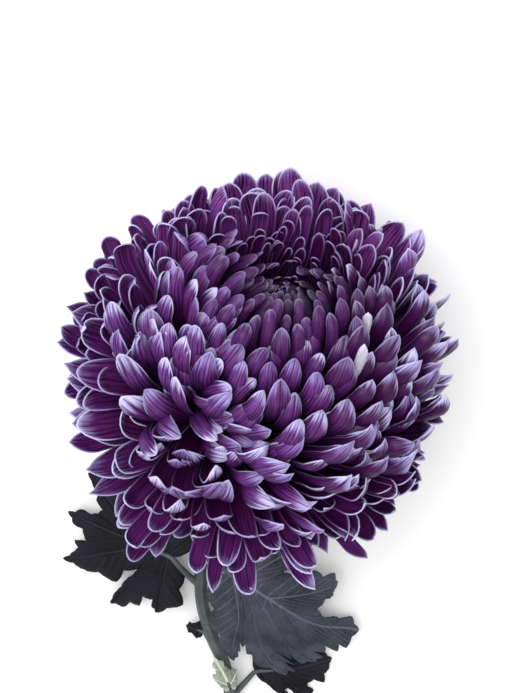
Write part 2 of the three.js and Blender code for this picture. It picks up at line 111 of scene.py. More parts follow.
# How the petals lie: (to the right, upwards, heading in degrees anticlockwise from the right,
# which face they show: 1 for the inside and -1 for the back)
COMBING = (
    (10, 63, 88, 0.3), (-3, 60, 92, 0.8), (-17, 58, 90, 0.6), (-30, 53, 93, 0.6),
    (-42, 47, 103, 0.6), (-51, 35, 114, 0.9), (-58, 22, 132, 0.6), (-61, 13, 154, 0.3),
    (-64, -3, 182, 0.5), (-62, -20, 189, 0.4), (-58, -31, 197, 0.2), (-54, -38, 207, 0.6),
    (-48, -46, 224, 0.4), (-36, -56, 241, 0.3), (-23, -54, 257, 0.8), (-14, -62, 262, 0.6),
    (8, -64, 288, 0.6), (20, -60, 309, 0.5), (30, -58, 322, 0.3), (44, -48, 330, -0.3),
    (51, -42, 349, 0.5), (56, -33, 3, 0.5), (60, -25, 13, 0.3), (62, -18, 20, -0.4),
    (65, -8, 18, -0.5), (65, 2, 38, 0), (62, 10, 50, -0.3), (60, 20, 52, -0.5), (52, 29, 60, 0),
    (51, 36, 72, -0.3), (44, 44, 74, 0.2), (37, 51, 73, 0.5), (28, 57, 80, 0.5), (18, 60, 85, 0.4),
    (21, 49, 87, 0.5), (-4, 50, 80, 1), (-19, 53, 62, 0.4), (-35, 46, 98, 0.9), (-51, 22, 142, 1),
    (-54, 8, 172, 1), (-52, -8, 182, 0.9), (-49, -24, 189, 0.9), (-44, -34, 205, 1),
    (-40, -47, 217, 0.9), (-33, -36, 232, 0.8), (0, -59, 300, 0.7), (36, -50, 350, 0.7),
    (28, -49, 8, 0.7), (46, -38, 3, 0.7), (53, -24, 30, -0.4), (53, -10, 42, -0.5),
    (57, 3, 50, -0.8), (47, 17, 74, -0.8), (44, 26, 60, -0.3), (38, 37, 64, 0), (30, 48, 104, -0.2),
    (24, 39, 95, 0.6), (8, 43, 90, 1), (13, 49, 60, 0.7), (-13, 43, 38, 0.2), (-5, 38, 26, -0.8),
    (-3, 31, 6, -1), (-4, 25, 16, -1), (-12, 39, 32, -0.2), (-25, 35, 68, 0.2), (-33, 40, 80, 0.5),
    (-39, 30, 83, 0.4), (-11, 26, 66, -1), (-20, 26, 76, -0.8), (-36, 14, 96, -0.1),
    (-25, 18, 62, -0.2), (-11, 13, 50, -1), (-26, 4, 88, -1), (-7, 5, 62, -1), (1, 9, 90, -1),
    (12, 13, 91, -1), (20, 12, 95, -1), (23, 21, 92, -0.9), (21, 33, 95, 0), (32, 32, 86, -0.3),
    (30, 18, 84, -0.8), (29, 4, 78, -1), (42, 4, 54, -0.8), (37, -5, 50, -1), (48, -3, 52, -0.9),
    (46, -12, 36, -0.5), (31, -13, 46, -0.6), (24, -11, 50, -0.6), (14, -9, 64, -1),
    (2, -7, 92, -1), (-4, -17, 84, -0.5), (10, -18, 76, -0.6), (8, -25, 36, -0.6),
    (26, -25, 18, -0.8), (43, -26, 20, -0.8), (35, -32, 20, -0.4), (15, -33, -6, -0.6),
    (16, -41, -12, -0.6), (25, -38, 6, -0.3), (22, -45, 8, 0), (6, -48, -24, -0.5),
    (15, -52, -22, -0.5), (-3, -15, -10, -0.4), (-18, -19, -50, -0.6), (-22, -25, -30, -0.7),
    (-13, -27, -48, -0.7), (-18, -33, -14, -0.3), (-1, -37, -10, -0.5), (-10, -42, -8, 0),
    (-15, -48, -20, -0.1), (-1, -51, -20, -0.4), (-27, -41, -60, 0.3), (-38, -9, 130, -0.6),
    (-43, -15, 150, -0.5), (-36, 0, 100, -0.6), (-43, 20, 104, -0.7),
)
COMB_BREADTH = 6.5
COMB_LIFT = 1.3  # how steeply the combed petals rise
RUFFLED_LIFT = 2
LEAST_RISES = (-0.1, 0.3)  # of their headings, in the lower half of the bloom and at its top
MOST_RISE = 2.5

# Each list holds (polar angle in degrees, value) pairs; turns and curls are degrees as well
TURN_IN = (
    (0, 45), (14, 50), (25, 38), (45, 30), (60, 28), (80, 22), (100, 10), (120, -4), (134, -16),
)
PETAL_WIDTHS = ((0, 2.4), (12, 3.6), (20, 5), (30, 7.2), (45, 8.8), (80, 9.4), (100, 9), (128, 8.4))
PETAL_CHANNELS = ((0, 1.15), (25, 0.95), (60, 0.8), (90, 0.85), (128, 0.8))
TIP_CURLS = ((0, 60), (15, 100), (30, 110), (50, 95), (70, 80), (85, 75), (105, 60), (128, 35))

# The petals are made in rings, each a piece of its own: name, first and last polar angle
PETAL_RINGS = (
    ("petals_heart", 0, 30),
    ("petals_inner", 30, 58),
    ("petals_side", 58, 92),
    ("petals_skirt", 92, 129),
)
PETAL_COLUMNS = 6
PETAL_ROWS = 10
TIP_SHARE = 0.5  # of a petal's rows, in its rounded tip
NARROWEST = 0.3  # a petal's breadth at its root, as a share of its full breadth
CURL_REACH = 10  # how far from a petal's end its tip curls
MOST_CURL_SHARE = 0.3  # of a short petal's length
MOST_CURL = 100  # degrees
WAVE_HEIGHT = 0.6  # of the waves along a petal's margins
WAVES = 3  # from its root to its tip
ROOT_SHADE_FADE = 0.38  # the share of a petal over which the painted shade at its root fades
LOWEST = 0.4  # how near to the surface petals come
LOWEST_SPREAD = 2.4
PETAL_SHINE = 0.24

# A petal's random numbers, each from 0 to 1, in the order in which they are drawn
DRAWS = (
    "whim", "reach", "tuck", "bend", "lean", "twist", "width", "channel", "curl", "hook",
    "pale", "point", "wave", "wave_start", "lift", "stray", "roll", "taper",
)
# How far petals differ from one another, and what the bloom's regions add to that
SPREADS = {
    "bend": {"everywhere": 24},  # degrees
    "lean": {"everywhere": 4, "ruffle": 9, "top": 8},
    "twist": {"everywhere": 34, "ruffle": 30, "top": 44},  # degrees
    "hook": {"everywhere": 4, "ruffle": 3.2},
    "stray": {"everywhere": 22, "ruffle": 30, "top": 52},  # degrees
    "roll": {"everywhere": 0.5, "ruffle": 0.6, "top": 1.4, "mixed": 1},  # 2 turns a face round
}


# ---- Numbers and lines ----
WELL_OVER = 30  # so many times the softness above a floor, its effect no longer shows


def smoothstep(value, low, high):
    share = min(max((value - low) / (high - low), 0), 1)
    return share * share * (3 - 2 * share)


def lerp(start, end, share):
    return start + (end - start) * share


def fading(distance, breadth):
    """1 at no distance, and less and less further away."""
    return math.exp(-((distance / breadth) ** 2))


def at_stop(stops, at):
    """The value between the stops, which are pairs of a place and a value."""
    for (low, first), (high, second) in zip(stops, stops[1:]):
        if at <= high:
            return lerp(first, second, (at - low) / (high - low))
    return stops[-1][1]


def soft_floor(height, floor, softness):
    """Stays above the floor, and is the same height well over it."""
    excess = (height - floor) / softness
    if excess > WELL_OVER:
        return height
    return floor + softness * math.log1p(math.exp(excess))


class Path:
    """A smooth line through points, measured along its length."""

    def __init__(self, points, steps=16):
        knots = [Vector(point) for point in points]
        slopes = [knots[1] - knots[0]]
        for before, after in zip(knots, knots[2:]):
            slopes.append((after - before) / 2)
        slopes.append(knots[-1] - knots[-2])
        self.places = [knots[0]]
        for index, (start, end) in enumerate(zip(knots, knots[1:])):
            handles = (start + slopes[index] / 3, end - slopes[index + 1] / 3)
            self.places += geometry.interpolate_bezier(start, *handles, end, steps + 1)[1:]
        self.lengths = [0]
        for start, end in zip(self.places, self.places[1:]):
            self.lengths.append(self.lengths[-1] + (end - start).length)
        self.length = self.lengths[-1]

    def at(self, distance):
        """The place and the heading at a distance, which may lie past either end."""
        step = 1
        while step < len(self.places) - 1 and self.lengths[step] < distance:
            step += 1
        start, end = self.places[step - 1], self.places[step]
        heading = (end - start).normalized()
        return start + heading * (distance - self.lengths[step - 1]), heading


# ---- Settings ----
def length_setting(name, description, default):
    return bpy.props.FloatProperty(
        name=name, description=description, default=default * MM, unit="LENGTH", precision=4
    )


def colour_setting(name, description, red, green, blue):
    return bpy.props.FloatVectorProperty(
        name=name,
        description=description,
        default=(red / 255, green / 255, blue / 255),
        subtype="COLOR_GAMMA",
        min=0,
        max=1,
    )


class BloomSettings(bpy.types.PropertyGroup):
    petals: bpy.props.IntProperty(
        name="Petals", description="Number of petals in the bloom", default=720, min=50
    )
    ball_radius: length_setting("Ball radius", "From the centre to the side petals' tips", 65.5)
    thickness: length_setting("Petal thickness", "Thickness of every petal", 0.4)
    skirt_reach: length_setting("Skirt", "Extra length of the petals on the stem's side", 11)
    arm: bpy.props.FloatProperty(
        name="Bent share",
        description="Share of a petal's length that is bent in towards the eye",
        default=0.42,
        subtype="FACTOR",
    )
    back_colour: colour_setting("Back", "The outer face of the petals", 112, 58, 144)
    back_vein_colour: colour_setting("Back veins", "Veins on the outer face", 42, 4, 56)
    inner_colour: colour_setting("Inside", "The inner face of the petals", 104, 44, 120)
    inner_vein_colour: colour_setting("Inside veins", "Veins on the inner face", 56, 8, 62)
    plum_colour: colour_setting("Plum", "The redder petals", 104, 36, 104)
    # painted shade: the colour the petals darken to towards their roots, deep in the bloom
    root_shade_colour: colour_setting("Depth", "The petals deep inside the bloom", 50, 2, 54)
    # painted light: a lighter colour laid over the petals above the eye
    sheen_colour: colour_setting("Sheen", "Over the petals above the eye", 166, 92, 182)
    # a paler flush over the petals' upper parts, partly their own colour and partly painted
    # highlight
    flush_and_highlight_colour: colour_setting("Flush", "Over the petals' upper parts", 138, 120, 206)
    # pale tips and rims, partly the petals' own colour and partly painted highlight
    pale_tip_and_highlight_colour: colour_setting("Tips", "The petals' pale tips and rims", 204, 198, 242)
    withered_colour: colour_setting("Withered", "The few petals that are rolled", 200, 196, 212)
    heart_colour: colour_setting("Heart", "The youngest petals, at the eye", 54, 56, 62)


class StemSettings(bpy.types.PropertyGroup):
    neck_radius: length_setting("Neck radius", "Of the stem under the bloom", 2.3)
    cut_radius: length_setting("Cut radius", "Of the stem at its cut end", 3)
    ribs: bpy.props.IntProperty(
        name="Ribs", description="Number of ribs round the stem", default=7, min=3
    )
    rib_height: length_setting("Rib height", "How far the ribs stand out", 0.16)
    stem_colour: colour_setting("Stem", "The stem and the leaf stalks", 84, 90, 92)
    calyx_colour: colour_setting("Calyx", "The cup under the bloom", 92, 107, 74)
    bract_edge_colour: colour_setting("Bract edges", "Thin edges of the bracts", 189, 179, 153)
    dome_colour: colour_setting("Receptacle", "The dome the petals grow from", 179, 189, 153)
    down_colour: colour_setting("Down", "The pale down on the dome", 204, 204, 179)
    rind_colour: colour_setting("Rind", "Round the pith at the cut end", 153, 163, 117)
    pith_colour: colour_setting("Pith", "The middle of the cut end", 219, 219, 194)


class LeafSettings(bpy.types.PropertyGroup):
    thickness: length_setting("Leaf thickness", "Thickness of the blades", 0.7)
    puff: length_setting("Puff", "How far a blade swells between its veins", 1.1)
    # painted shade: a darkened leaf colour for the leaves that lie in the bloom's shade
    dark_colour: colour_setting("Dark leaves", "Leaves in the bloom's shade", 26, 25, 32)
    grey_colour: colour_setting("Grey leaf", "The large leaf on the right", 60, 63, 73)
    young_colour: colour_setting("Young leaf", "The small pale leaf by the cut end", 150, 160, 142)


class StageSettings(bpy.types.PropertyGroup):
    floor_colour: colour_setting("Floor", "The surface that the flower lies on", 250, 250, 250)
    key_power: bpy.props.FloatProperty(
        name="Key light", description="Power of the main light", default=10, unit="POWER"
    )
    sky_strength: bpy.props.FloatProperty(
        name="Sky", description="Strength of the light from all round", default=0.75, min=0
    )


# ---- Finishes ----
class Wire:
    """A socket of a node tree, on which Python's operators add Math nodes."""

    def __init__(self, nodes, socket):
        self.nodes = nodes
        self.socket = socket

    def math(self, operation, *values):
        return self.nodes.add("ShaderNodeMath", {"operation": operation}, dict(enumerate(values)))

    def __add__(self, other):
        return self.math("ADD", self, other)

    def __sub__(self, other):
        return self.math("SUBTRACT", self, other)

    def __rsub__(self, other):
        return self.math("SUBTRACT", other, self)

    def __mul__(self, other):
        return self.math("MULTIPLY", self, other)

    __radd__ = __add__
    __rmul__ = __mul__

    def at_most(self, limit):
        return self.math("MINIMUM", self, limit)

    def to_and_fro(self, reach):
        """Rises from 0 to the reach and falls again, over and over."""
        return self.math("PINGPONG", self, reach)

    def rise(self, low, high):
        """0 below low, 1 above high and smooth between; the other way round if low is higher."""
        settings = {"interpolation_type": "SMOOTHSTEP"}
        if low > high:
            return 1 - self.rise(high, low)
        return self.nodes.add("ShaderNodeMapRange", settings, {0: self, 1: low, 2: high})


class Nodes:
    """The node tree of one finish."""

    def __init__(self, name):
        self.material = bpy.data.materials.new(name)
        self.material.use_nodes = True
        self.tree = self.material.node_tree
        self.tree.nodes.clear()

    def add(self, kind, settings=None, inputs=None, output=0):
        """Adds a node with its settings, then its inputs, which are wires or values."""
        node = self.tree.nodes.new(kind)
        for name, value in (settings or {}).items():
            setattr(node, name, value)
        for name, value in (inputs or {}).items():
            if isinstance(value, Wire):
                self.tree.links.new(value.socket, node.inputs[name])
            else:
                node.inputs[name].default_value = value
        return Wire(self, node.outputs[output] if node.outputs else None)

    def attribute(self, name):
        return self.add("ShaderNodeAttribute", {"attribute_name": name}, output="Fac")

    def uv(self, name):
        """The two coordinates of a piece's own map."""
        place = self.add("ShaderNodeUVMap", {"uv_map": name})
        split = self.add("ShaderNodeSeparateXYZ", None, {0: place})
        return split, Wire(self, split.socket.node.outputs[1])

    def object_place(self):
        return self.add("ShaderNodeTexCoord", output="Object")

    def place(self, x, y, z=0.0):
        return self.add("ShaderNodeCombineXYZ", None, {0: x, 1: y, 2: z})

    def noise(self, vector, scale, detail=2.0, roughness=0.5):
        inputs = {"Vector": vector, "Scale": scale, "Detail": detail, "Roughness": roughness}
        return self.add("ShaderNodeTexNoise", None, inputs)

    def mix(self, factor, first, second):
        """The first colour where the factor is 0, the second where it is 1."""
        first, second = (end if isinstance(end, Wire) else linear(end) for end in (first, second))
        return self.add("ShaderNodeMix", {"data_type": "RGBA"}, {0: factor, 6: first, 7: second}, 2)

    def bump(self, height, strength, distance):
        inputs = {"Height": height, "Strength": strength, "Distance": distance * MM}
        return self.add("ShaderNodeBump", None, inputs)

    def finish(self, inputs):
        """Ends the tree in a surface with these inputs, and gives its material."""
        surface = self.add("ShaderNodeBsdfPrincipled", None, inputs)
        self.add("ShaderNodeOutputMaterial", None, {"Surface": surface})
        return self.material


def light_value(channel):
    """The light that a colour channel stands for."""
    if channel <= 0.04045:
        return channel / 12.92
    return ((channel + 0.055) / 1.055) ** 2.4


def linear(colour):
    """A colour setting as the light values that sockets take."""
    return tuple(light_value(channel) for channel in colour) + (1.0,)


def toned(colour, gain, lift=0.0):
    """A darker or lighter colour of the same kind."""
    return tuple(min(channel * gain + lift, 1) for channel in colour)


def petal_face(name, body, veins, bloom, depth, tip_strength):
    """One face of the petals: veins that run to a pale tip, and a pale rim; the tip, the rim and a
    flush over the upper parts are partly the petals' own colour and partly painted highlight.

    The depth is the share of its own colour that a petal keeps at its root, where painted shade
    darkens it; the petals above the eye are made lighter by painted light."""
    nodes = Nodes(name)
    across, along = nodes.uv("Petal")
    whim = nodes.attribute("whim")
    zone = nodes.attribute("zone")
    pale = nodes.attribute("pale")
    streaks = nodes.noise(nodes.place(across * 11, along * 1.3, whim * 60), 1.0)
    fine = nodes.noise(nodes.place(across * 30, along * 2.4, whim * 90), 1.0)
    wander = nodes.noise(nodes.place(across * 2, along * 1.5, whim * 50), 1.0) * 2
    ridges = (across * 8 + wander).to_and_fro(0.5) * 2
    vein = (streaks * 0.5 + fine * 0.34 + ridges * 0.16).rise(0.36, 0.6)

    plum = (whim * 5).to_and_fro(0.5) * 0.9
    colour = nodes.mix(plum, body, bloom.plum_colour)
    colour = nodes.mix(vein, veins, colour)
    # painted shade: darker towards the petals' roots deep in the bloom, and in the eye's hollow
    shade = (1 - nodes.attribute("deep") * (1 - depth)) * (0.8 + whim * 0.4)
    shade = shade * (0.4 + 0.6 * zone.rise(0.08, 0.4))
    colour = nodes.mix(1 - shade, colour, bloom.root_shade_colour)
    # painted light: the petals above the eye are made lighter
    sheen = nodes.attribute("sheen") * vein * (0.2 + 0.4 * whim)
    colour = nodes.mix(sheen, colour, bloom.sheen_colour)
    heart = zone.rise(0.13, 0.04) * (0.3 + 0.5 * vein)
    colour = nodes.mix(heart, colour, bloom.heart_colour)

    # the flush is partly the petals' own paler upper parts and partly painted highlight on their
    # domes
    outer = along + streaks * 0.5
    flush_and_highlight = outer.rise(0.96, 1.2) * (0.1 + 0.5 * whim) * tip_strength * zone.rise(0.05, 0.4)
    colour = nodes.mix(flush_and_highlight * (0.12 + 0.88 * vein), colour, bloom.flush_and_highlight_colour)
    # pale tips, partly the petals' own colour and partly painted highlight
    tip = outer.rise(1.0, 1.25) * (0.1 + 0.9 * pale) * tip_strength
    tip = tip * zone.rise(0.05, 0.3) * (0.4 + 0.6 * vein)
    colour = nodes.mix(tip, colour, bloom.pale_tip_and_highlight_colour)
    withered = pale.rise(1.5, 2) * along.rise(0.3, 0.42) * (0.6 + 0.35 * vein)
    colour = nodes.mix(withered, colour, bloom.withered_colour)

    # pale rims, partly the thin margins' own colour and partly painted highlight, dimmer near the
    # eye
    patches = nodes.noise(nodes.place(across * 2, along * 7, whim * 40), 1.0)
    rim = nodes.attribute("margin").rise(0.4, 0.1) * (0.2 + 0.8 * along.rise(0.45, 0.85))
    rim = rim * (0.3 + 0.7 * tip_strength) * (0.3 + 0.9 * patches)
    rim = rim * (0.3 + 0.7 * zone.rise(0.1, 0.35)) * (0.6 + 0.7 * pale)
    colour = nodes.mix(rim, colour, bloom.pale_tip_and_highlight_colour)
    inputs = {
        "Base Color": colour,
        "Roughness": 0.5 - vein * 0.1,
        "Specular IOR Level": PETAL_SHINE,
        "Normal": nodes.bump(streaks * 0.7 + fine * 0.3, 0.5, 0.35),
    }
    return nodes.finish(inputs)


def petal_rim(bloom):
    """The petals' thin edge, paler towards the tip: partly its own colour and partly painted
    highlight.
    """
    nodes = Nodes("petal_rim")
    across, along = nodes.uv("Petal")
    whim = nodes.attribute("whim")
    body = nodes.mix(whim, bloom.back_colour, bloom.inner_colour)
    faded = nodes.noise(nodes.place(across * 3, along * 4, whim * 30), 1.0)
    light = along.rise(0.35, 0.85) * (0.25 + 0.5 * faded + 0.6 * nodes.attribute("pale"))
    light = light * (0.3 + 0.7 * nodes.attribute("zone").rise(0.1, 0.35))
    colour = nodes.mix(light, body, bloom.pale_tip_and_highlight_colour)
    return nodes.finish({"Base Color": colour, "Roughness": 0.5, "Specular IOR Level": PETAL_SHINE})


# ---- Making pieces ----
WELD = 0.001  # points nearer to each other than this become one


def added(name, data):
    """A new object in the scene."""
    item = bpy.data.objects.new(name, data)
    bpy.context.scene.collection.objects.link(item)
    return item


def added_mesh(name, bm, materials):
    """A new object with this mesh and these materials."""
    mesh = bpy.data.meshes.new(name)
    bm.to_mesh(mesh)
    bm.free()
    for material in materials:
        mesh.materials.append(material)
    return added(name, mesh)


def finished_piece(name, bm, materials, slot, replaced, thickness=0.0, offsets=(0, 0)):
    """Turns a mesh in flower millimetres into a piece that rides on the root body.

    A sheet is given a thickness, and offsets to the materials of its other face and its rim."""
    bmesh.ops.transform(bm, matrix=FLOWER_PLACE, verts=bm.verts)
    for face in bm.faces:
        face.smooth = True
    piece = added_mesh(name, bm, materials)
    if thickness:
        wall = piece.modifiers.new("Thickness", "SOLIDIFY")
        wall.thickness = thickness
        wall.offset = 0
        wall.material_offset, wall.material_offset_rim = offsets
    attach(piece, "root")
    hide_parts(replaced)


def add_sheet(bm, columns, rows, place):
    """Adds a grid whose points go to place(vert, across, row): -1 to 1 across, rows 0 to 1."""
    grid = bmesh.ops.create_grid(bm, x_segments=columns, y_segments=rows, size=1, calc_uvs=True)
    for vert in grid["verts"]:
        vert.co = place(vert, vert.co.x, (vert.co.y + 1) / 2)
    return grid["verts"]


def add_rod(bm, path, radius_at, sides, steps, slant=0.0):
    """A closed rod along a path; slant cuts its far end on a slope. Gives its two end faces."""
    sheet = bmesh.ops.create_grid(bm, x_segments=sides, y_segments=steps, size=1)["verts"]
    _, heading = path.at(0)
    side = heading.orthogonal().normalized()
    rings = []
    for step in range(steps + 1):
        place, heading = path.at(path.length * step / steps)
        side = (side - heading * side.dot(heading)).normalized()
        rings.append((place, heading, side, heading.cross(side)))
    for vert in sheet:
        step = round((vert.co.y + 1) / 2 * steps)
        turn = math.pi * (vert.co.x + 1)
        place, heading, side, other = rings[step]
        radius = radius_at(step / steps, turn)
        vert.co = place + (side * math.cos(turn) + other * math.sin(turn)) * radius
        if step == steps:
            vert.co += heading * (slant * radius * math.cos(turn))
    bmesh.ops.remove_doubles(bm, verts=sheet, dist=WELD)
    walls = {face for vert in sheet if vert.is_valid for face in vert.link_faces}
    rims = [edge for face in walls for edge in face.edges if edge.is_boundary]
    ends = bmesh.ops.holes_fill(bm, edges=list(set(rims)), sides=sides)["faces"]
    bmesh.ops.recalc_face_normals(bm, faces=[*walls, *ends])
    return ends


def thicken(bm, sheet, drop):
    """Closes a sheet of faces into a solid, whose other face lies lower."""
    points = list({vert for face in sheet for vert in face.verts})
    edges = list({edge for face in sheet for edge in face.edges})
    grown = bmesh.ops.extrude_face_region(bm, geom=points + edges + sheet, use_keep_orig=True)
    moved = [item for item in grown["geom"] if isinstance(item, bmesh.types.BMVert)]
    bmesh.ops.translate(bm, vec=(0, 0, -drop), verts=moved)
    skin = {face for vert in points + moved for face in vert.link_faces}
    bmesh.ops.recalc_face_normals(bm, faces=list(skin))


# ---- Petals ----
BLOOM_SIDE = (Vector((1, 0, 0)) - BLOOM_AXIS * BLOOM_AXIS.x).normalized()
BLOOM_TURN = Matrix((BLOOM_SIDE, BLOOM_AXIS.cross(BLOOM_SIDE), BLOOM_AXIS)).transposed()
BLOOM_CENTRE = Vector((0, 0, BALL_HEIGHT))


def direction(polar, turn):
    """The direction that is so many polar degrees off the bloom's axis, and turned round it."""
    polar, turn = math.radians(polar), math.radians(turn)
    out = math.sin(polar)
    return BLOOM_TURN @ Vector((out * math.cos(turn), out * math.sin(turn), math.cos(polar)))


def tip_radius(polar, ball_radius):
    """How far from the centre petals end: less in the eye, round it and at the back."""
    eye = ball_radius * EYE_HOLLOW * fading(polar, EYE_BREADTH)
    shoulder = SHOULDER_DROP * (1 - smoothstep(polar, 25, 55))
    back = BACK_DROP * smoothstep(polar, 112, 132)
    return ball_radius - eye - shoulder - back


def near(seen, spot, breadth):
    """1 at the spot, and fading to 0 away from it."""
    return fading((seen - Vector(spot)).length, breadth)


def combed(seen, facing, stray, lift):
    """The heading of the petals that end at a place, and which face they show.

    The combing gives the heading as seen from above. How steeply it rises towards whoever looks
    follows from the lift, which is how far the heading points straight out of the ball."""
    course = Vector((0, 0))
    total = shown = 0
    for right, up, turn, face in COMBING:
        weight = near(seen, (right, up), COMB_BREADTH)
        turn = math.radians(turn + stray)
        course += Vector((math.cos(turn), math.sin(turn))) * weight
        shown += face * weight
        total += weight
    course = Vector((1, 0, 0)) * course.x + UPWARDS * course.y
    course.normalize()
    least = lerp(*LEAST_RISES, smoothstep(seen.y, 10, 50))
    rise = (lift - course.dot(facing)) / max(facing.dot(TOWARDS), 0.35)
    return (course + TOWARDS * min(max(rise, least), MOST_RISE)).normalized(), shown / total


class Spot:
    """Where on the bloom a petal ends, and its share, from 0 to 1, in each of the regions.

    front is seen from above, ruffle is tousled, below is the stem's side and skirt its outermost
    petals, fan has broad petals on the left, top is above the eye, cups has pointed petals at the
    lower right, and in mixed either face may show."""

    def __init__(self, polar, turn, ball_radius):
        self.facing = direction(polar, turn)
        self.seen = Vector((self.facing.x, self.facing.dot(UPWARDS))) * ball_radius
        right, up = self.seen
        self.everywhere = 1
        self.front = smoothstep(self.facing.dot(TOWARDS), -0.35, 0.05)
        self.ruffle = self.front * near(self.seen, RUFFLED_SPOT, RUFFLED_BREADTH)
        self.below = smoothstep(-up, 34, 64)
        self.skirt = smoothstep(polar, 88, 122) * self.below
        self.fan = smoothstep(-right, 30, 52) * smoothstep(-up, -30, 5)
        self.top = smoothstep(up, 20, 44) * smoothstep(polar, 20, 40)
        self.cups = self.front * smoothstep(right, -5, 15) * smoothstep(-up, 18, 36)
        self.mixed = self.front * smoothstep(-right, 8, 26) * (1 - smoothstep(abs(up), 35, 50))
        self.bleached = self.is_at(BLEACHED_SPOTS, BLEACHED_BREADTH)
        self.is_pale = self.is_at(PALE_SPOTS, PALE_BREADTH)

    def is_at(self, places, breadth):
        """Whether the petal ends on the near side, within the breadth of one of the places."""
        return self.front == 1 and any((self.seen - Vector(at)).length < breadth for at in places)

    def value(self, base, **extras):
        """The base value, and what the named regions add to it, in proportion to the shares."""
        return base + sum(extra * getattr(self, region) for region, extra in extras.items())


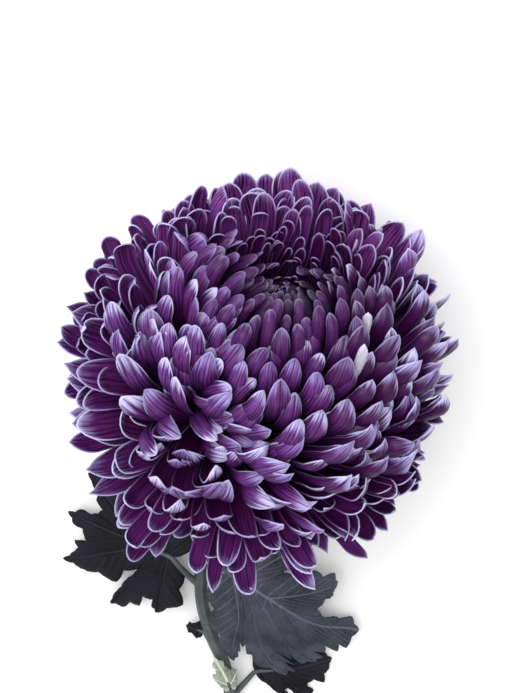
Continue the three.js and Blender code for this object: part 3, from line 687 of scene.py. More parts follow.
class Petal:
    """One petal's midline, outline and section."""

    def __init__(self, polar, turn, chance, bloom):
        self.polar = polar
        self.turn = turn
        self.spot = Spot(polar, turn, bloom.ball_radius / MM)
        self.draws = {name: chance.random() for name in DRAWS}
        self.set_looks()
        self.set_section()
        self.set_midline(bloom)

    def wobble(self, name):
        """How far the petal differs from its neighbours in this."""
        return (self.draws[name] - 0.5) * self.spot.value(0, **SPREADS[name])

    def set_looks(self):
        """What the finishes read."""
        spot = self.spot
        self.whim = self.draws["whim"]
        self.zone = self.polar / LAST_POLAR_ANGLE
        # painted light over the petals above the eye
        self.sheen = spot.top
        self.pale = self.draws["pale"] * (0.3 + 0.7 * smoothstep(self.polar, 15, 50))
        self.pale *= spot.value(1, top=-0.15) * spot.value(1, ruffle=1, skirt=0.5)
        self.pale = PALE_TIP if spot.is_pale else min(self.pale, 1)
        self.pale = BLEACHED_TIP if spot.bleached else self.pale
        # how far along the petal the painted shade at its root reaches: less far above the eye, on
        # the fan and on the skirt, further among the tousled petals and on the right flank
        self.root_shade_to = spot.value(0.64, top=-0.39, fan=-0.05, skirt=-0.2, ruffle=0.14)
        self.root_shade_to += 0.27 * spot.front * smoothstep(spot.seen.x, 12, 40)

    def set_section(self):
        """How broad, channelled, pointed, twisted and waved the petal is."""
        spot, draws = self.spot, self.draws
        self.twist = math.radians(self.wobble("twist"))
        width = at_stop(PETAL_WIDTHS, self.polar) * (0.75 + 0.45 * draws["width"])
        width *= BLEACHED_WIDTH if spot.bleached else spot.value(1, fan=0.35, top=0.3, ruffle=-0.15)
        width *= 1 - 0.38 * spot.top * smoothstep(-spot.seen.x, 20, 40)
        self.half_width = width * spot.value(1, cups=-0.1) / 2
        self.channel = at_stop(PETAL_CHANNELS, self.polar) * (0.8 + 0.4 * draws["channel"])
        self.point = 0.03 + 0.26 * draws["point"] ** 2
        self.point *= 0.2 + 0.8 * smoothstep(self.polar, 30, 75)
        self.point *= spot.value(1, top=-0.4) * spot.value(1, ruffle=-0.7)
        self.point += 0.12 * spot.cups + 0.09 * spot.front * smoothstep(spot.seen.x, 15, 35)
        self.wave = WAVE_HEIGHT * draws["wave"]
        self.lowest = LOWEST + LOWEST_SPREAD * draws["lift"]

    def tip_curl(self):
        """How far the tip curls, in degrees, before the way it faces is known."""
        spot = self.spot
        if spot.bleached:
            return BLEACHED_CURL
        curl = at_stop(TIP_CURLS, self.polar) * (0.6 + 0.8 * self.draws["curl"])
        curl *= spot.value(1, ruffle=0.2) * spot.value(1, top=-0.55) * spot.value(1, fan=-0.6)
        curl *= 1 - 0.8 * spot.front * near(spot.seen, OPEN_SPOT, OPEN_BREADTH)
        return min(curl, MOST_CURL)

    def reach(self, bloom, curl):
        """How far from the bloom's centre the petal ends."""
        spot = self.spot
        reach = tip_radius(self.polar, bloom.ball_radius / MM)
        reach += spot.value(8, skirt=9) * (self.draws["reach"] - 0.65)
        tuck = 3 + 5 * self.draws["tuck"]
        reach += spot.value(0, skirt=bloom.skirt_reach / MM, ruffle=-tuck, fan=1.5)
        for place, breadth, extra in REACH_SPOTS:
            reach += extra * spot.front * near(spot.seen, place, breadth)
        for axis, starts, full, depth in FLATTER_SIDES:
            reach -= depth * smoothstep(spot.facing[axis], starts, full)
        return reach + (BLEACHED_REACH if spot.bleached else 0.03 * curl)

    def set_midline(self, bloom):
        """The sweep from the root past the elbow to the tip, and the tip's curl."""
        spot = self.spot
        curl = self.tip_curl()
        reach = self.reach(bloom, curl)
        curl *= spot.value(1, cups=-0.4) * (1 - 0.6 * smoothstep(spot.seen.x, 44, 60))

        lift = lerp(COMB_LIFT, RUFFLED_LIFT, spot.ruffle)
        swept, shown = combed(spot.seen, spot.facing, self.wobble("stray"), lift)
        share = spot.front * smoothstep(self.polar, 6, 26)
        bend = at_stop(TURN_IN, self.polar) + self.wobble("bend")
        heading = direction(self.polar - bend, self.turn).lerp(swept, share).normalized()
        shown = min(max(shown + self.wobble("roll"), -1), 1) * share
        curl *= lerp(1, 0.3 + 0.7 * abs(shown), share * smoothstep(spot.seen.y, -12, 6))

        around = BLOOM_AXIS.cross(direction(90, self.turn)).normalized()
        level = (TOWARDS - heading * heading.dot(TOWARDS)).normalized()
        inner = heading.cross(around).normalized() * (1 - abs(shown)) + level * shown
        self.across = inner.normalized().cross(heading).normalized()

        middle = BLOOM_CENTRE + BLOOM_AXIS * RECEPTACLE_HEIGHT
        self.root = middle + direction(self.polar * RECEPTACLE_SHARE, self.turn) * RECEPTACLE_RADIUS
        self.tip = BLOOM_CENTRE + spot.facing * reach + self.across * self.wobble("lean")
        self.length = (self.tip - self.root).length
        self.elbow = self.tip - heading * bloom.arm * self.length
        self.curl_share = min(CURL_REACH / self.length, MOST_CURL_SHARE)
        self.curl = math.radians(curl) / (self.curl_share * self.length)
        self.side_hook = self.wobble("hook") * smoothstep(self.polar, 15, 50)
        taper = 1.7 + 1.1 * self.draws["taper"] + spot.value(0, below=0.4, top=-0.7)
        self.shoulder = 1 - min(taper * self.half_width / self.length, 0.45)

    def middle(self, along):
        """The place on the midline and the heading there: a sweep, then the tip's curl inwards."""
        start = min(along, 1 - self.curl_share)
        rest = 1 - start
        place = self.root * rest**2 + self.elbow * (2 * rest * start) + self.tip * start**2
        heading = ((self.elbow - self.root) * rest + (self.tip - self.elbow) * start).normalized()
        past = along - start
        if past > 0:
            turned = self.curl * past * self.length
            inner = heading.cross(self.across).normalized()
            place += (heading * math.sin(turned) + inner * (1 - math.cos(turned))) / self.curl
            place += self.across * (self.side_hook * (past / self.curl_share) ** 2)
            heading = heading * math.cos(turned) + inner * math.sin(turned)
        return place, heading

    def outline(self, across, row):
        """Distance along as a share, distance to the side, and distance to the margin."""
        body = 1 - TIP_SHARE
        if row <= body:
            along = self.shoulder * (1 - (1 - row / body) ** 1.4)
            breadth = lerp(NARROWEST, 1, smoothstep(along / self.shoulder, 0, 0.95))
            side = across * self.half_width * breadth
            return along, side, self.half_width * breadth * (1 - abs(across))
        climb = (row - body) / TIP_SHARE
        side = across * math.sqrt(1 - climb**2 / 2)
        climb *= math.sqrt(1 - across**2 / 2)
        margin = self.half_width * (1 - math.hypot(side, climb))
        point = self.point * max(0, 1 - abs(side) * 2.2) ** 2 * climb
        along = self.shoulder + (1 - self.shoulder) * (climb + point)
        return along, side * self.half_width, margin

    def place(self, across, row):
        """A point of the blade, bowed to its channel, waved and kept off the surface."""
        along, side, margin = self.outline(across, row)
        place, heading = self.middle(along)
        sideways = (self.across - heading * self.across.dot(heading)).normalized()
        sideways = Matrix.Rotation(self.twist * along, 3, heading) @ sideways
        back = sideways.cross(heading).normalized()
        radius = self.half_width / (self.channel * (0.75 + 0.5 * along**2))
        bow = side / radius
        place += sideways * (radius * math.sin(bow)) - back * (radius * (1 - math.cos(bow)))
        edge = abs(side) / self.half_width
        phase = math.tau * (WAVES * along + self.draws["wave_start"])
        place += back * (self.wave * edge**2 * math.sin(phase))
        height = soft_floor(place.z, self.lowest, 1)
        outwards = (place - PRESSED_SPOT) * Vector((1, 1, 0))
        place += outwards.normalized() * (PRESSED_OUT * (height - place.z))
        place.z = height
        return place, along, margin


def crowded_place(middle, breadth, ball_radius, chance):
    """The polar angle and the turn of one more petal near a place on the bloom."""
    scatter = Vector((chance.gauss(0, 0.5), chance.gauss(0, 0.5))) * breadth
    spot = (Vector(middle) + scatter) / ball_radius
    out = math.sqrt(max(1 - spot.length_squared, 0))
    facing = Vector((spot.x, 0, 0)) + UPWARDS * spot.y + TOWARDS * out
    facing = BLOOM_TURN.transposed() @ facing.normalized()
    return math.degrees(math.acos(facing.z)), math.degrees(math.atan2(facing.y, facing.x))


def all_petals(bloom):
    """Every petal of the bloom: from the eye outwards, then the ones at the crowded spots."""
    chance = random.Random(SEED)
    petals = []
    for index in range(bloom.petals):
        polar = LAST_POLAR_ANGLE * (index + 0.5) / bloom.petals
        turn = index * GOLDEN_ANGLE + TURN_SPREAD * (chance.random() - 0.5)
        petal = Petal(polar, turn, chance, bloom)
        thinned = any(getattr(petal.spot, name) >= least for name, least in THINNED_FROM.items())
        if index % THINNING or not thinned:
            petals.append(petal)
    for middle, breadth, count in CROWDED_SPOTS:
        for _ in range(count):
            place = crowded_place(middle, breadth, bloom.ball_radius / MM, chance)
            petals.append(Petal(*place, chance, bloom))
    return petals


def lay_petal(bm, layers, petal):
    """Adds the petal's sheet, with what the finishes read at each of its points."""

    def place(vert, across, row):
        point, along, margin = petal.place(across, row)
        vert[layers["margin"]] = margin
        # deep: how much painted shade darkens the petal near its root
        vert[layers["deep"]] = 1 - smoothstep(along, petal.root_shade_to, petal.root_shade_to + ROOT_SHADE_FADE)
        for name in ("whim", "zone", "pale", "sheen"):
            vert[layers[name]] = getattr(petal, name)
        return point

    add_sheet(bm, PETAL_COLUMNS, PETAL_ROWS, place)


class FLOWER_OT_petals(bpy.types.Operator):
    """Makes the bloom's petals, in rings from the heart to the skirt"""

    bl_idname = "flower.petals"
    bl_label = "Petals"
    bl_options = {"REGISTER", "UNDO"}

    def execute(self, context):
        bloom = context.scene.flower_bloom
        back = (bloom.back_colour, bloom.back_vein_colour)
        inside = (bloom.inner_colour, bloom.inner_vein_colour)
        materials = [
            petal_face("petal_back", *back, bloom, depth=0.15, tip_strength=1),
            petal_face("petal_inside", *inside, bloom, depth=0.35, tip_strength=0.55),
            petal_rim(bloom),
        ]
        petals = all_petals(bloom)
        for name, first, last in PETAL_RINGS:
            bm = bmesh.new()
            bm.loops.layers.uv.new("Petal")
            looks = ("margin", "deep", "whim", "zone", "pale", "sheen")
            layers = {look: bm.verts.layers.float.new(look) for look in looks}
            for petal in petals:
                if first <= petal.polar < last:
                    lay_petal(bm, layers, petal)
            wall = {"thickness": bloom.thickness, "offsets": (1, 2)}
            finished_piece(name, bm, materials, "petals", "bloom", **wall)
        return {"FINISHED"}


# ---- The receptacle and the calyx ----
BRACT_ROWS = (
    # count, radius, height, reach, rise in degrees, half width
    (14, 10.2, -34.6, 9.5, 26, 2.6),
    (13, 8.6, -36.6, 9, 24, 2.4),
    (11, 6.4, -38.9, 8.5, 24, 2.1),
)
BRACT_ROOT = 2.5  # how deep a bract's root is sunk in the cup
BRACT_THICKNESS = 0.45
BRACT_COLUMNS = 6
BRACT_STEPS = 7  # from its root to its tip
CUP_PROFILE = (
    # radius, height above the calyx's bottom
    (0, 0), (3.2, 0), (5, 1.2), (9, 3.6), (12.2, 7.3), (12, 9.7), (0, 9.7),
)
CUP_SIDES = 36
CUP_ROUNDING = 1
DOME_BOTTOM = CALYX_TOP + 0.3  # of the receptacle, just inside the cup
DOME_FLATNESS = 0.9
NO_MARGIN = 5  # the distance to the margin that is set where there is none


def to_bloom(bm, verts):
    """Moves a shape made round the Z axis to the bloom's axis, from the bloom's centre."""
    place = Matrix.Translation(BLOOM_CENTRE) @ BLOOM_TURN.to_4x4()
    bmesh.ops.transform(bm, matrix=place, verts=verts)


def green_finish(name, colour, pale, grain_scale):
    """Downy green skin, mottled and grained, that pales to its margins."""
    nodes = Nodes(name)
    place = nodes.object_place()
    blotches = nodes.noise(place, 90.0, 3.0)
    grain = nodes.noise(place, grain_scale, 4.0, 0.7)
    tone = (blotches * 0.6 + grain * 0.4).rise(0.35, 0.65)
    base = nodes.mix(tone, toned(colour, 0.72), colour)
    base = nodes.mix(nodes.attribute("margin").rise(0.7, 0.1) * 0.7, base, pale)
    normal = nodes.bump(grain, 0.5, 0.25)
    return nodes.finish({"Base Color": base, "Roughness": 0.62, "Normal": normal})


def bract_place(row, index, whim):
    """Gives the function that places a bract's points: a pointed blade, hollow to the bloom."""
    count, radius, height, reach, rise, half_width = row
    around = math.tau * index / count
    outwards = Vector((math.cos(around), math.sin(around), 0))
    heading = outwards * math.cos(math.radians(rise)) + Vector((0, 0, math.sin(math.radians(rise))))
    across = Vector((0, 0, 1)).cross(outwards)
    up = heading.cross(across)
    root = outwards * radius + Vector((0, 0, height)) - heading * BRACT_ROOT

    def place(side, along):
        breadth = half_width * (0.9 - 0.25 * along) * math.sqrt(max(1 - along**5, 0.0))
        length = (reach + BRACT_ROOT) * along * (0.92 + 0.16 * whim)
        cupped = 0.22 * (side * breadth) ** 2 + 1.1 * along**2
        return root + heading * length + across * (side * breadth) + up * cupped, breadth

    return place


def add_cup(bm):
    """The cup, turned round the bloom's axis from its profile."""
    profile = [bm.verts.new((radius, 0, CALYX_BOTTOM + up)) for radius, up in CUP_PROFILE]
    for pair in zip(profile, profile[1:]):
        bm.edges.new(pair)
    bmesh.ops.bevel(
        bm, geom=profile[2:-2], offset=CUP_ROUNDING, offset_type="OFFSET", segments=3,
        profile=0.5, affect="VERTICES", material=-1,
    )
    bmesh.ops.spin(
        bm, geom=bm.verts[:] + bm.edges[:], cent=(0, 0, 0), axis=(0, 0, 1),
        angle=math.tau, steps=CUP_SIDES, use_merge=True,
    )
    bmesh.ops.remove_doubles(bm, verts=bm.verts, dist=WELD)
    bmesh.ops.recalc_face_normals(bm, faces=bm.faces)


def add_bract(bm, margin_layer, place_bract):
    """Adds a bract as a sheet with the distance to its margin, then thickens it."""

    def place(vert, side, along):
        spot, breadth = place_bract(side, along)
        vert[margin_layer] = breadth * (1 - abs(side))
        return spot

    sheet = set(add_sheet(bm, BRACT_COLUMNS, BRACT_STEPS, place))
    blade = [face for face in bm.faces if set(face.verts) <= sheet]
    thicken(bm, blade, BRACT_THICKNESS)


class FLOWER_OT_calyx(bpy.types.Operator):
    """Makes the cup under the bloom with its rows of bracts, and the dome the petals grow from"""

    bl_idname = "flower.calyx"
    bl_label = "Calyx"
    bl_options = {"REGISTER", "UNDO"}

    def execute(self, context):
        stem = context.scene.flower_stem
        bm = bmesh.new()
        margin_layer = bm.verts.layers.float.new("margin")
        add_cup(bm)
        for vert in bm.verts:
            vert[margin_layer] = NO_MARGIN
        chance = random.Random(SEED)
        for shift, row in enumerate(BRACT_ROWS):
            for index in range(row[0]):
                add_bract(bm, margin_layer, bract_place(row, index + 0.5 * shift, chance.random()))
        to_bloom(bm, bm.verts)
        finish = green_finish("calyx", stem.calyx_colour, stem.bract_edge_colour, grain_scale=900)
        finished_piece("calyx_cup", bm, [finish], "calyx", "calyx")

        bm = bmesh.new()
        bmesh.ops.create_uvsphere(bm, u_segments=28, v_segments=16, radius=RECEPTACLE_RADIUS)
        bmesh.ops.scale(bm, vec=(1, 1, DOME_FLATNESS), verts=bm.verts)
        bmesh.ops.translate(bm, vec=(0, 0, RECEPTACLE_HEIGHT), verts=bm.verts)
        for vert in bm.verts:
            vert.co.z = max(vert.co.z, DOME_BOTTOM)
        to_bloom(bm, bm.verts)
        finish = green_finish("receptacle", stem.dome_colour, stem.down_colour, grain_scale=600)
        finished_piece("receptacle", bm, [finish], "petals", "bloom")
        return {"FINISHED"}


# ---- The stem ----
NECK = BLOOM_CENTRE + BLOOM_AXIS * (CALYX_BOTTOM - 0.3)
STEM_ROUTE = (
    NECK,
    NECK - BLOOM_AXIS * 11,
    (-15.5, -54, 16),
    (-21.3, -76, 12.6),
    (-23.8, -96, 10.6),
    (-24.4, -118, 9),
    (-20.9, -136, 7.4),
    (-15.4, -152, 5.9),
    (-12.3, -169, 4.3),
    (-10, -187, 3),
)
STEM_LOWEST = 0.05  # above the surface
STEM_CUT_SLANT = 0.7
STEM_SIDES = 42
STEM_STEPS = 150
# Places and lengths along the stem are shares of its length
FLARE = 1.2  # how much thicker it is where it joins the bloom
FLARE_LENGTH = 0.025
JOINTS = (0.52, 0.68, 0.9)  # where it is swollen
JOINT_SWELL = 0.35
JOINT_LENGTH = 0.012
SKIN = 0.8  # the rind round the pith at the cut end
PITH_DEPTH = 0.12


class FLOWER_OT_stem(bpy.types.Operator):
    """Makes the ribbed stem, cut on a slant to show its pith"""

    bl_idname = "flower.stem"
    bl_label = "Stem"
    bl_options = {"REGISTER", "UNDO"}

    def execute(self, context):
        stem = context.scene.flower_stem
        neck, cut = stem.neck_radius / MM, stem.cut_radius / MM

        def radius_at(along, turn):
            rib = stem.rib_height / MM * (math.cos(stem.ribs * turn) - 1)
            flare = FLARE * fading(along, FLARE_LENGTH)
            joint = sum(fading(along - at, JOINT_LENGTH) for at in JOINTS)
            return lerp(neck, cut, along) + flare + rib + JOINT_SWELL * joint

        bm = bmesh.new()
        margin_layer = bm.verts.layers.float.new("margin")
        route = Path(STEM_ROUTE)
        ends = add_rod(bm, route, radius_at, STEM_SIDES, STEM_STEPS, STEM_CUT_SLANT)
        cut_end = min(ends, key=lambda face: face.calc_center_median().y)
        cut_end.material_index = 1
        ring = bmesh.ops.inset_region(bm, faces=[cut_end], thickness=SKIN, depth=-PITH_DEPTH)
        for face in ring["faces"]:
            face.material_index = 2
        for vert in bm.verts:
            vert[margin_layer] = NO_MARGIN
            vert.co.z = max(vert.co.z, STEM_LOWEST)
        finishes = [
            green_finish("stem", stem.stem_colour, stem.stem_colour, grain_scale=700),
            green_finish("pith", stem.pith_colour, stem.pith_colour, grain_scale=1500),
            green_finish("cut_wood", stem.rind_colour, stem.rind_colour, grain_scale=1500),
        ]
        finished_piece("flower_stem", bm, finishes, "stem", "stem")
        return {"FINISHED"}


# ---- The leaves ----
# A leaf is drawn on its midrib: each place is (distance along the midrib, distance to its left),
# with right negative. A lobe is (the notch below it, its lower edge from there on, its tip, its
# upper edge from the next lobe's notch on). The last lobe's vein is the end of the midrib, which
# is its tip as well. A lobe's vein starts at its root on the midrib, and its edges start at the
# divides before and after it. Away from the midrib a blade droops with the square of the
# distance, down to its lowest. A tone is a slot, a colour setting and how much the veins show.
# painted shade: the leaves in the bloom's shade are coloured darker than the grey leaf
SHADED_LEAF_TONE = ("leaf_dark", "dark_colour", 0.28)
LEAVES = {
    "leaf_left": {
        "tone": SHADED_LEAF_TONE,
        "midrib": ((-36, -98, 13), (-56, -88.5, 13), (-79, -81, 6)),
        "stalk": ((-24.2, -113.3, 9.2), (-29, -107.5, 11.2), (-33, -102.3, 12.6)),
        "stalk_radius": 1.5,
        "droop": 0.0072,
        "lowest": 1.2,
        "roots": (2, 5.5, 12),
        "divides": (0, 3.5, 8.5, 20),
        "left": (
            ((-8, 5), ((-13.5, 19),), (-5.4, 29.7), ((-2.2, 27),)),
            ((0.2, 23.5), ((2.1, 29.3), (7.2, 33.9)), (13.9, 35), ((12.8, 19), (14.4, 28.9))),
            ((10.2, 10.5), ((16.1, 21.7), (34, 23)), (44, 22.4), ((41.3, 10.8), (40, 16))),
            ((37.7, 6.9), ((43.8, 3.6),)),
        ),
        "right": (
            ((-5, -5), ((-9, -12),), (-8, -20), ((-3, -19),)),
            ((1, -14), ((2, -24), (6, -31)), (14, -33.5), ((14.5, -18), (15.5, -27))),
            ((13, -9), ((20, -20), (32, -25)), (43.8, -18.6), ((37, -10), (39.5, -14.4))),
            ((34.7, -4.9), ((42.1, -3.7),)),
        ),
    },
    "leaf_right": {
        "tone": ("leaf_grey", "grey_colour", 0.5),
        "midrib": ((-13.3, -98.4, 24), (2.8, -109.6, 25), (22.2, -127.9, 14), (42.1, -135.7, 4)),
        "stalk": ((-22.6, -85.6, 11.4), (-20.8, -88.6, 17), (-17.6, -93.4, 21.6)),
        "stalk_radius": 1.6,
        "droop": 0.0082,
        "lowest": 5.6,
        "roots": (3, 6.5, 21),
        "divides": (0, 5, 12, 30),
        "left": (
            ((-5, 7), ((-8, 14),), (-6, 22), ((0, 20),)),
            ((3, 14), ((8, 24),), (20, 30), ((21, 22),)),
            ((18, 12), ((27, 20), (36.5, 23.5)), (44, 20.5), ((45, 9.5), (48.3, 14.7))),
            ((50.4, 4.6), ((57.4, 5), (66.6, 5.5))),
        ),
        "right": (
            ((-1.4, -13), ((6, -24.5), (25, -34)), (39.7, -38.9), ((36.8, -31.5), (38.6, -35))),
            ((34.9, -28.3), ((39.3, -30.6), (45, -33.8)), (53, -31), ((53, -24), (54.3, -27.5))),
            ((50.7, -21.5), ((54.5, -22.3),), (59, -19.5), ((60.6, -16.5),)),
            ((60.5, -13.5), ((66, -12.4), (70, -9.8))),
        ),
    },
    "leaf_lower": {
        "tone": SHADED_LEAF_TONE,
        "midrib": ((-2, -157.2, 3.6), (14, -156.5, 2.6), (31, -152, 1.4)),
        "stalk": ((-12.2, -168.4, 4.4), (-8.6, -164.4, 4.6), (-5, -160.2, 4.2)),
        "stalk_radius": 1.4,
        "droop": 0.011,
        "lowest": 1,
        "roots": (2.5, 8.5),
        "divides": (0, 5.5, 14),
        "left": (
            ((-1, 5), ((1, 10),), (6, 17), ((10.5, 14),)),
            ((11, 9), ((14.5, 15),), (22, 16), ((24.4, 11.6),)),
            ((22, 7), ((28, 7.6), (31.4, 4))),
        ),
        "right": (
            ((2, -4), ((6, -7.4),), (11.5, -14.5), ((13.2, -12.6),)),
            ((13.3, -9.4), ((16, -14.4),), (20.8, -16.6), ((22.2, -13),)),
            ((20.8, -8.6), ((27.4, -10.6), (31, -4.6))),
        ),
    },
    "leaf_young": {
        "tone": ("leaf_pale", "young_colour", 0.5),
        "midrib": ((-12.2, -163, 9.6), (-15, -154, 12), (-19.2, -144.8, 13.4)),
        "stalk": ((-12.7, -166.6, 5), (-12.4, -165.4, 7.2), (-12.2, -164.4, 8.6)),
        "stalk_radius": 1.1,
        "droop": 0.02,
        "lowest": 8,
        "roots": (3.5,),
        "divides": (0, 9),
        "left": (
            ((1, 2.4), ((4, 3.6),), (10.5, 5.4), ((12.4, 4.4),)),
            ((12.5, 2.6), ((17, 2.4),)),
        ),
        "right": (
            ((1, -2.4), ((4, -3.6),), (10, -5.6), ((12, -4.4),)),
            ((12.5, -2.8), ((17, -2.6),)),
        ),
    },
    "leaf_small": {
        "tone": SHADED_LEAF_TONE,
        "midrib": ((-24.4, -134.6, 8.6), (-27.6, -133.8, 8.6), (-31.4, -133.4, 7)),
        "stalk": ((-21.3, -135, 7.6), (-22.6, -134.9, 8), (-23.6, -134.7, 8.4)),
        "stalk_radius": 0.9,
        "droop": 0.03,
        "lowest": 3,
        "roots": (1,),
        "divides": (0, 2.6),
        "left": (
            ((-0.6, 2.2), (), (1.4, 4.6), ()),
            ((3.4, 2.6), ((6, 2.4),)),
        ),
        "right": (
            ((-0.6, -2.2), (), (1.6, -5), ()),
            ((3.4, -2.8), ((6, -2.6),)),
        ),
    },
}
TOOTH_BITE = 0.22  # depth of the nicks between teeth, as a share of the blade's breadth
TOOTH_SWELL = 0.1  # how far an edge swells between a tooth and a nick, as a share of its length
LEAF_SHINE = 0.12
VEIN_MAP_SIZE = 100  # millimetres to one unit of the veins' map
SIDE_VEIN_GAP = 4.4  # between the small veins that leave a lobe's vein
SIDE_VEIN_SLOPE = 0.8
QUILT_HEIGHT = 0.22  # of the swellings between the small veins
VEIN_DIP = 0.45  # how deep the blade dips along a lobe's vein
VEIN_BREADTH = 0.9
MIDRIB_DIP = 0.5
MIDRIB_BREADTH = 1.1
FULL_SWELL_LENGTH = 30  # leaves with a shorter midrib swell less between their veins
DROOP_SOFTNESS = 1.2  # how gradually a blade comes to its lowest
BLADE_WELD = 0.02  # its lobes' points nearer to each other than this become one
LOBE_COLUMNS = 7  # from a lobe's vein to its edge
EDGE_STEPS = 4  # to each stretch of the edge
STALK_SIDES = 14
STALK_STEPS = 24
STALK_RUN_ON = 8  # how far a stalk goes on under its midrib, at most
UNDERSIDE_VEINS = 0.7  # how much the veins show there


def blend(first, second, share):
    return tuple(lerp(a, b, share) for a, b in zip(first, second))


def step_at(line, share):
    """The step that a share of a line of equal steps ends in, and how far into it that is."""
    steps = len(line) - 1
    step = min(max(math.floor(share * steps), 0), steps - 1)
    return step, share * steps - step


def at_share(line, share):
    """A place on a line of equal steps."""
    step, part = step_at(line, share)
    return blend(line[step], line[step + 1], part)


def toothed(edge, vein):
    """Sets a nick between each two points of the edge after its first stretch."""
    line = [edge[0], edge[1]]
    for index in range(2, len(edge)):
        middle = blend(edge[index - 1], edge[index], 0.5)
        line.append(blend(middle, at_share(vein, (index - 0.5) / (len(edge) - 1)), TOOTH_BITE))
        line.append(edge[index])
    return line


def on_edge(line, vein, share):
    """A place on a toothed edge, swollen outwards between its corners."""
    step, part = step_at(line, share)
    spot = Vector(blend(line[step], line[step + 1], part))
    run = Vector(line[step + 1]) - Vector(line[step])
    away = spot - Vector(at_share(vein, share))
    swell = TOOTH_SWELL * run.length * math.sin(math.pi * part) if away.length > 0.5 else 0
    return spot + away.normalized() * swell if swell else spot


def half_lobes(leaf, length):
    """The leaf's half-lobes, each a vein and a toothed edge."""
    halves = []
    divides = [(divide, 0) for divide in leaf["divides"]]
    for lobes in (leaf["left"], leaf["right"]):
        for index, (notch, lower, *rest) in enumerate(lobes):
            if rest:
                tip, upper = rest
                vein = ((leaf["roots"][index], 0), tip)
                edge = [divides[index + 1], lobes[index + 1][0], *upper, tip]
                halves.append((vein, toothed(edge, vein)))
            else:
                tip = (length, 0)
                vein = (divides[index], tip)
            halves.append((vein, toothed([divides[index], notch, *lower, tip], vein)))
    return halves


class Blade:
    """One leaf's blade, from its outline to places over the surface."""

    def __init__(self, leaf, settings):
        self.leaf = leaf
        self.midrib = Path(leaf["midrib"])
        self.puff = settings.puff / MM * min(1, self.midrib.length / FULL_SWELL_LENGTH)

    def place(self, along, aside, relief):
        """A point of the surface, so far along the midrib and to its left, raised by a relief."""
        share = min(max(along, 0), self.midrib.length)
        spine, tangent = self.midrib.at(share)
        leftwards = Vector((-tangent.y, tangent.x, 0)).normalized()
        spine = spine + tangent * (along - share) + leftwards * aside
        drooped = spine.z - self.leaf["droop"] * aside**2 + relief
        height = soft_floor(drooped, self.leaf["lowest"], DROOP_SOFTNESS)
        return Vector((spine.x, spine.y, height))

    def relief(self, rung, span, along_vein, from_vein, aside):
        """Swells between the veins, and dips along them."""
        swell = self.puff * math.sin(math.pi * span) ** 0.8 * math.sin(math.pi * rung) ** 0.6
        dip = VEIN_DIP * fading(from_vein, VEIN_BREADTH)
        dip += MIDRIB_DIP * fading(aside, MIDRIB_BREADTH)
        run = (along_vein - SIDE_VEIN_SLOPE * from_vein) / SIDE_VEIN_GAP
        quilt = QUILT_HEIGHT * math.cos(math.tau * run) * min(1, from_vein / 2.5)
        return swell - dip - quilt * math.sin(math.pi * rung) ** 0.5


def add_half_lobe(bm, blade, vein, edge, layers):
    """One half of a lobe, as a grid from its vein to its toothed edge."""
    rungs = (len(edge) - 1) * EDGE_STEPS
    origin = Vector(vein[0])
    reach = (Vector(vein[1]) - origin).length
    marks = {}
    grid = bmesh.ops.create_grid(bm, x_segments=rungs, y_segments=LOBE_COLUMNS, size=1)["verts"]
    for vert in grid:
        rung, span = (vert.co.x + 1) / 2, (vert.co.y + 1) / 2
        inner = Vector(at_share(vein, rung))
        outer = on_edge(edge, vein, rung)
        spot = inner.lerp(outer, span)
        from_vein = (spot - inner).length
        marks[vert] = (reach * rung, from_vein)
        relief = blade.relief(rung, span, reach * rung, from_vein, spot.y)
        vert.co = blade.place(spot.x, spot.y, relief)
        vert[layers["rib"]] = abs(spot.y)
        vert[layers["margin"]] = (outer - spot).length
    for face in {face for vert in grid for face in vert.link_faces}:
        for loop in face.loops:
            loop[layers["veins"]].uv = Vector(marks[loop.vert]) / VEIN_MAP_SIZE


def leaf_finish(name, colour, vein_strength, relief):
    """Leaf skin: blotches, pale veins, and a relief that is negative on the underside."""
    nodes = Nodes(name)
    place = nodes.object_place()
    along, aside = nodes.uv("Veins")
    along = along * VEIN_MAP_SIZE
    aside = aside * VEIN_MAP_SIZE
    rib = nodes.attribute("rib")
    blotches = nodes.noise(place, 60.0, 4.0, 0.6)
    grain = nodes.noise(place, 1400.0, 3.0)
    wander = nodes.noise(place, 220.0) * 1.4
    run = along - aside * SIDE_VEIN_SLOPE + wander
    small = run.to_and_fro(SIDE_VEIN_GAP / 2).rise(0.5, 0.12)
    small = small * aside.rise(0.4, 1.6) * aside.rise(14.0, 7.0)
    main = (rib.rise(0.9, 0.25) + aside.rise(0.75, 0.2)).at_most(1)
    inputs = {"Vector": place, "Scale": 520.0}
    net = nodes.add("ShaderNodeTexVoronoi", {"feature": "DISTANCE_TO_EDGE"}, inputs).rise(0.1, 0.02)
    veins = (main + small * 0.55 + net * 0.16) * vein_strength
    base = nodes.mix(blotches.rise(0.3, 0.7), toned(colour, 0.68), toned(colour, 1.2))
    base = nodes.mix(veins, base, toned(colour, 1.5, 0.12))
    height = 1 - main * 0.5 - small * 0.35 + grain * 0.12 - net * 0.1
    inputs = {
        "Base Color": base,
        "Roughness": 0.58 + blotches * 0.16,
        "Normal": nodes.bump(height * relief, 0.6, 0.5),
        "Specular IOR Level": LEAF_SHINE,
    }
    return nodes.finish(inputs)


def leaf_stalk_path(leaf, blade):
    """From inside the stem to a little way under the blade's midrib."""
    reach = min(STALK_RUN_ON, blade.midrib.length * 0.3)
    sunk = [(reach / 2, 0.5), (reach, 0.6)]
    under = [blade.midrib.at(0)[0]]
    under += [blade.midrib.at(distance)[0] - Vector((0, 0, drop)) for distance, drop in sunk]
    return Path([*leaf["stalk"], *under], steps=6)


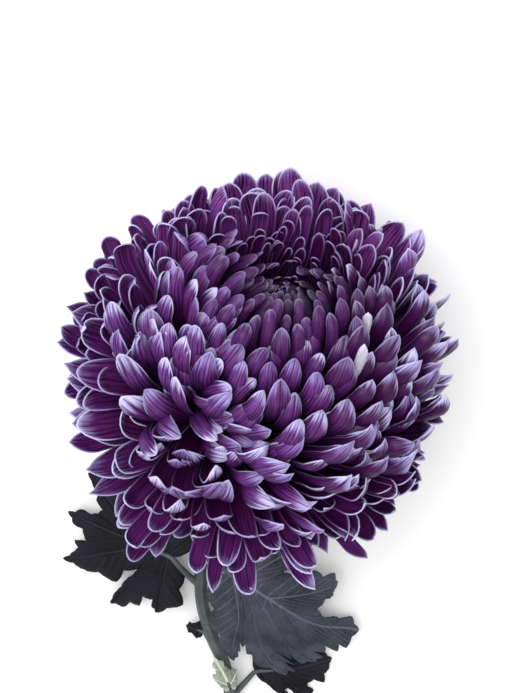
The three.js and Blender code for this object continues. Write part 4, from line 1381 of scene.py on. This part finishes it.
def add_blade(bm, leaf, blade, thickness, layers):
    """The blade's upper face from its half-lobes, then its underside and edge."""
    for vein, edge in half_lobes(leaf, blade.midrib.length):
        add_half_lobe(bm, blade, vein, edge, layers)
    bmesh.ops.remove_doubles(bm, verts=bm.verts, dist=BLADE_WELD)
    bmesh.ops.recalc_face_normals(bm, faces=bm.faces)
    if sum(face.normal.z for face in bm.faces) < 0:
        bmesh.ops.reverse_faces(bm, faces=bm.faces)
    thicken(bm, bm.faces[:], thickness)
    for face in bm.faces:
        face.material_index = 1 if face.normal.z < -0.3 else 0


def add_stalk(bm, leaf, blade, layers):
    """Adds the leaf's stalk, which runs on under its midrib."""
    blade_faces = set(bm.faces)
    path = leaf_stalk_path(leaf, blade)

    def radius_at(along, turn):
        return leaf["stalk_radius"] * (1.1 - 0.6 * along)

    add_rod(bm, path, radius_at, STALK_SIDES, STALK_STEPS)
    for face in set(bm.faces) - blade_faces:
        face.material_index = 2
        for vert in face.verts:
            vert[layers["margin"]] = NO_MARGIN


class FLOWER_OT_leaves(bpy.types.Operator):
    """Makes the lobed, toothed leaves with their veins and stalks"""

    bl_idname = "flower.leaves"
    bl_label = "Leaves"
    bl_options = {"REGISTER", "UNDO"}

    def execute(self, context):
        settings = context.scene.flower_leaf
        stem_colour = context.scene.flower_stem.stem_colour
        stalk = green_finish("leaf_stalk", stem_colour, stem_colour, grain_scale=800)
        for node, leaf in LEAVES.items():
            slot, tone, vein_strength = leaf["tone"]
            colour = getattr(settings, tone)
            blade = Blade(leaf, settings)
            bm = bmesh.new()
            layers = {name: bm.verts.layers.float.new(name) for name in ("rib", "margin")}
            layers["veins"] = bm.loops.layers.uv.new("Veins")
            add_blade(bm, leaf, blade, settings.thickness / MM, layers)
            add_stalk(bm, leaf, blade, layers)
            name = "blade_" + node.removeprefix("leaf_")
            finishes = [
                leaf_finish(name + "_upper", colour, vein_strength, relief=1),
                leaf_finish(name + "_under", toned(colour, 1.25, 0.06), UNDERSIDE_VEINS, relief=-1),
                stalk,
            ]
            finished_piece(name, bm, finishes, slot, node)
        return {"FINISHED"}


# ---- The stage ----
FLOOR_HALF_WIDTH = 3  # in metres, as are the places and distances below
FLOOR_DROP = 0.0002
KEY_PLACE = Vector((-0.22, 0.44, 0.98))
KEY_TARGET = Vector((0, 0.02, 0.04))
KEY_SIZE = 0.8
CAMERA_DISTANCE = 0.403
CAMERA_RISE = 5.4 * MM  # how far above the bloom's centre it looks
CAMERA_LENS = 60
CAMERA_SENSOR = 36


class FLOWER_OT_stage(bpy.types.Operator):
    """Makes the floor, the light, the sky and the camera"""

    bl_idname = "flower.stage"
    bl_label = "Stage"
    bl_options = {"REGISTER", "UNDO"}

    def execute(self, context):
        scene = context.scene
        stage = scene.flower_stage
        bm = bmesh.new()
        bmesh.ops.create_grid(bm, x_segments=1, y_segments=1, size=FLOOR_HALF_WIDTH)
        bmesh.ops.translate(bm, vec=(0, 0, -FLOOR_DROP), verts=bm.verts)
        finish = {"Base Color": linear(stage.floor_colour), "Roughness": 0.9}
        floor = added_mesh("floor", bm, [Nodes("floor").finish(finish)])

        scene.world = bpy.data.worlds.new("sky")
        scene.world.use_nodes = True
        sky = scene.world.node_tree.nodes["Background"]
        sky.inputs["Color"].default_value = (1, 1, 1, 1)
        sky.inputs["Strength"].default_value = stage.sky_strength
        scene.view_settings.view_transform = "Standard"

        light = bpy.data.lights.new("key", "AREA")
        light.energy = stage.key_power
        light.size = KEY_SIZE
        lamp = added("key", light)
        lamp.location = KEY_PLACE
        lamp.rotation_euler = (KEY_TARGET - KEY_PLACE).to_track_quat("-Z", "Y").to_euler()

        data = bpy.data.cameras.new("camera")
        data.lens = CAMERA_LENS
        data.sensor_width = CAMERA_SENSOR
        camera = added("camera", data)
        turn = Matrix((Vector((1, 0, 0)), UPWARDS, TOWARDS)).transposed()
        place = FLOWER_PLACE @ BLOOM_CENTRE + UPWARDS * CAMERA_RISE + TOWARDS * CAMERA_DISTANCE
        camera.matrix_world = Matrix.Translation(place) @ turn.to_4x4()
        scene.camera = camera
        return {"FINISHED"}


class FLOWER_PT_panel(bpy.types.Panel):
    """Lists the flower's pieces in the sidebar, with their settings"""

    bl_idname = "FLOWER_PT_panel"
    bl_label = "Cut chrysanthemum"
    bl_space_type = "VIEW_3D"
    bl_region_type = "UI"
    bl_category = "Flower"

    def draw(self, context):
        for piece, group in PIECE_SETTINGS.items():
            box = self.layout.box()
            box.operator(piece)
            if group:
                settings = getattr(context.scene, group)
                for name in settings.__annotations__:
                    box.prop(settings, name)


SETTINGS = {
    "flower_bloom": BloomSettings,
    "flower_stem": StemSettings,
    "flower_leaf": LeafSettings,
    "flower_stage": StageSettings,
}
CLASSES = (
    *SETTINGS.values(),
    FLOWER_OT_stage,
    FLOWER_OT_petals,
    FLOWER_OT_calyx,
    FLOWER_OT_stem,
    FLOWER_OT_leaves,
    FLOWER_PT_panel,
)
# Each operator, in the order of the panel, with the settings that are shown under it
PIECE_SETTINGS = {
    "flower.stage": "flower_stage",
    "flower.petals": "flower_bloom",
    "flower.calyx": None,
    "flower.stem": "flower_stem",
    "flower.leaves": "flower_leaf",
}


def register():
    for item in CLASSES:
        bpy.utils.register_class(item)
    for name, group in SETTINGS.items():
        setattr(bpy.types.Scene, name, bpy.props.PointerProperty(type=group))


def unregister():
    for name in SETTINGS:
        delattr(bpy.types.Scene, name)
    for item in reversed(CLASSES):
        bpy.utils.unregister_class(item)


def main():
    register()
    bpy.ops.flower.stage()
    bpy.ops.flower.petals()
    bpy.ops.flower.calyx()
    bpy.ops.flower.stem()
    bpy.ops.flower.leaves()
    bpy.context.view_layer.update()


if __name__ == "__main__":
    main()
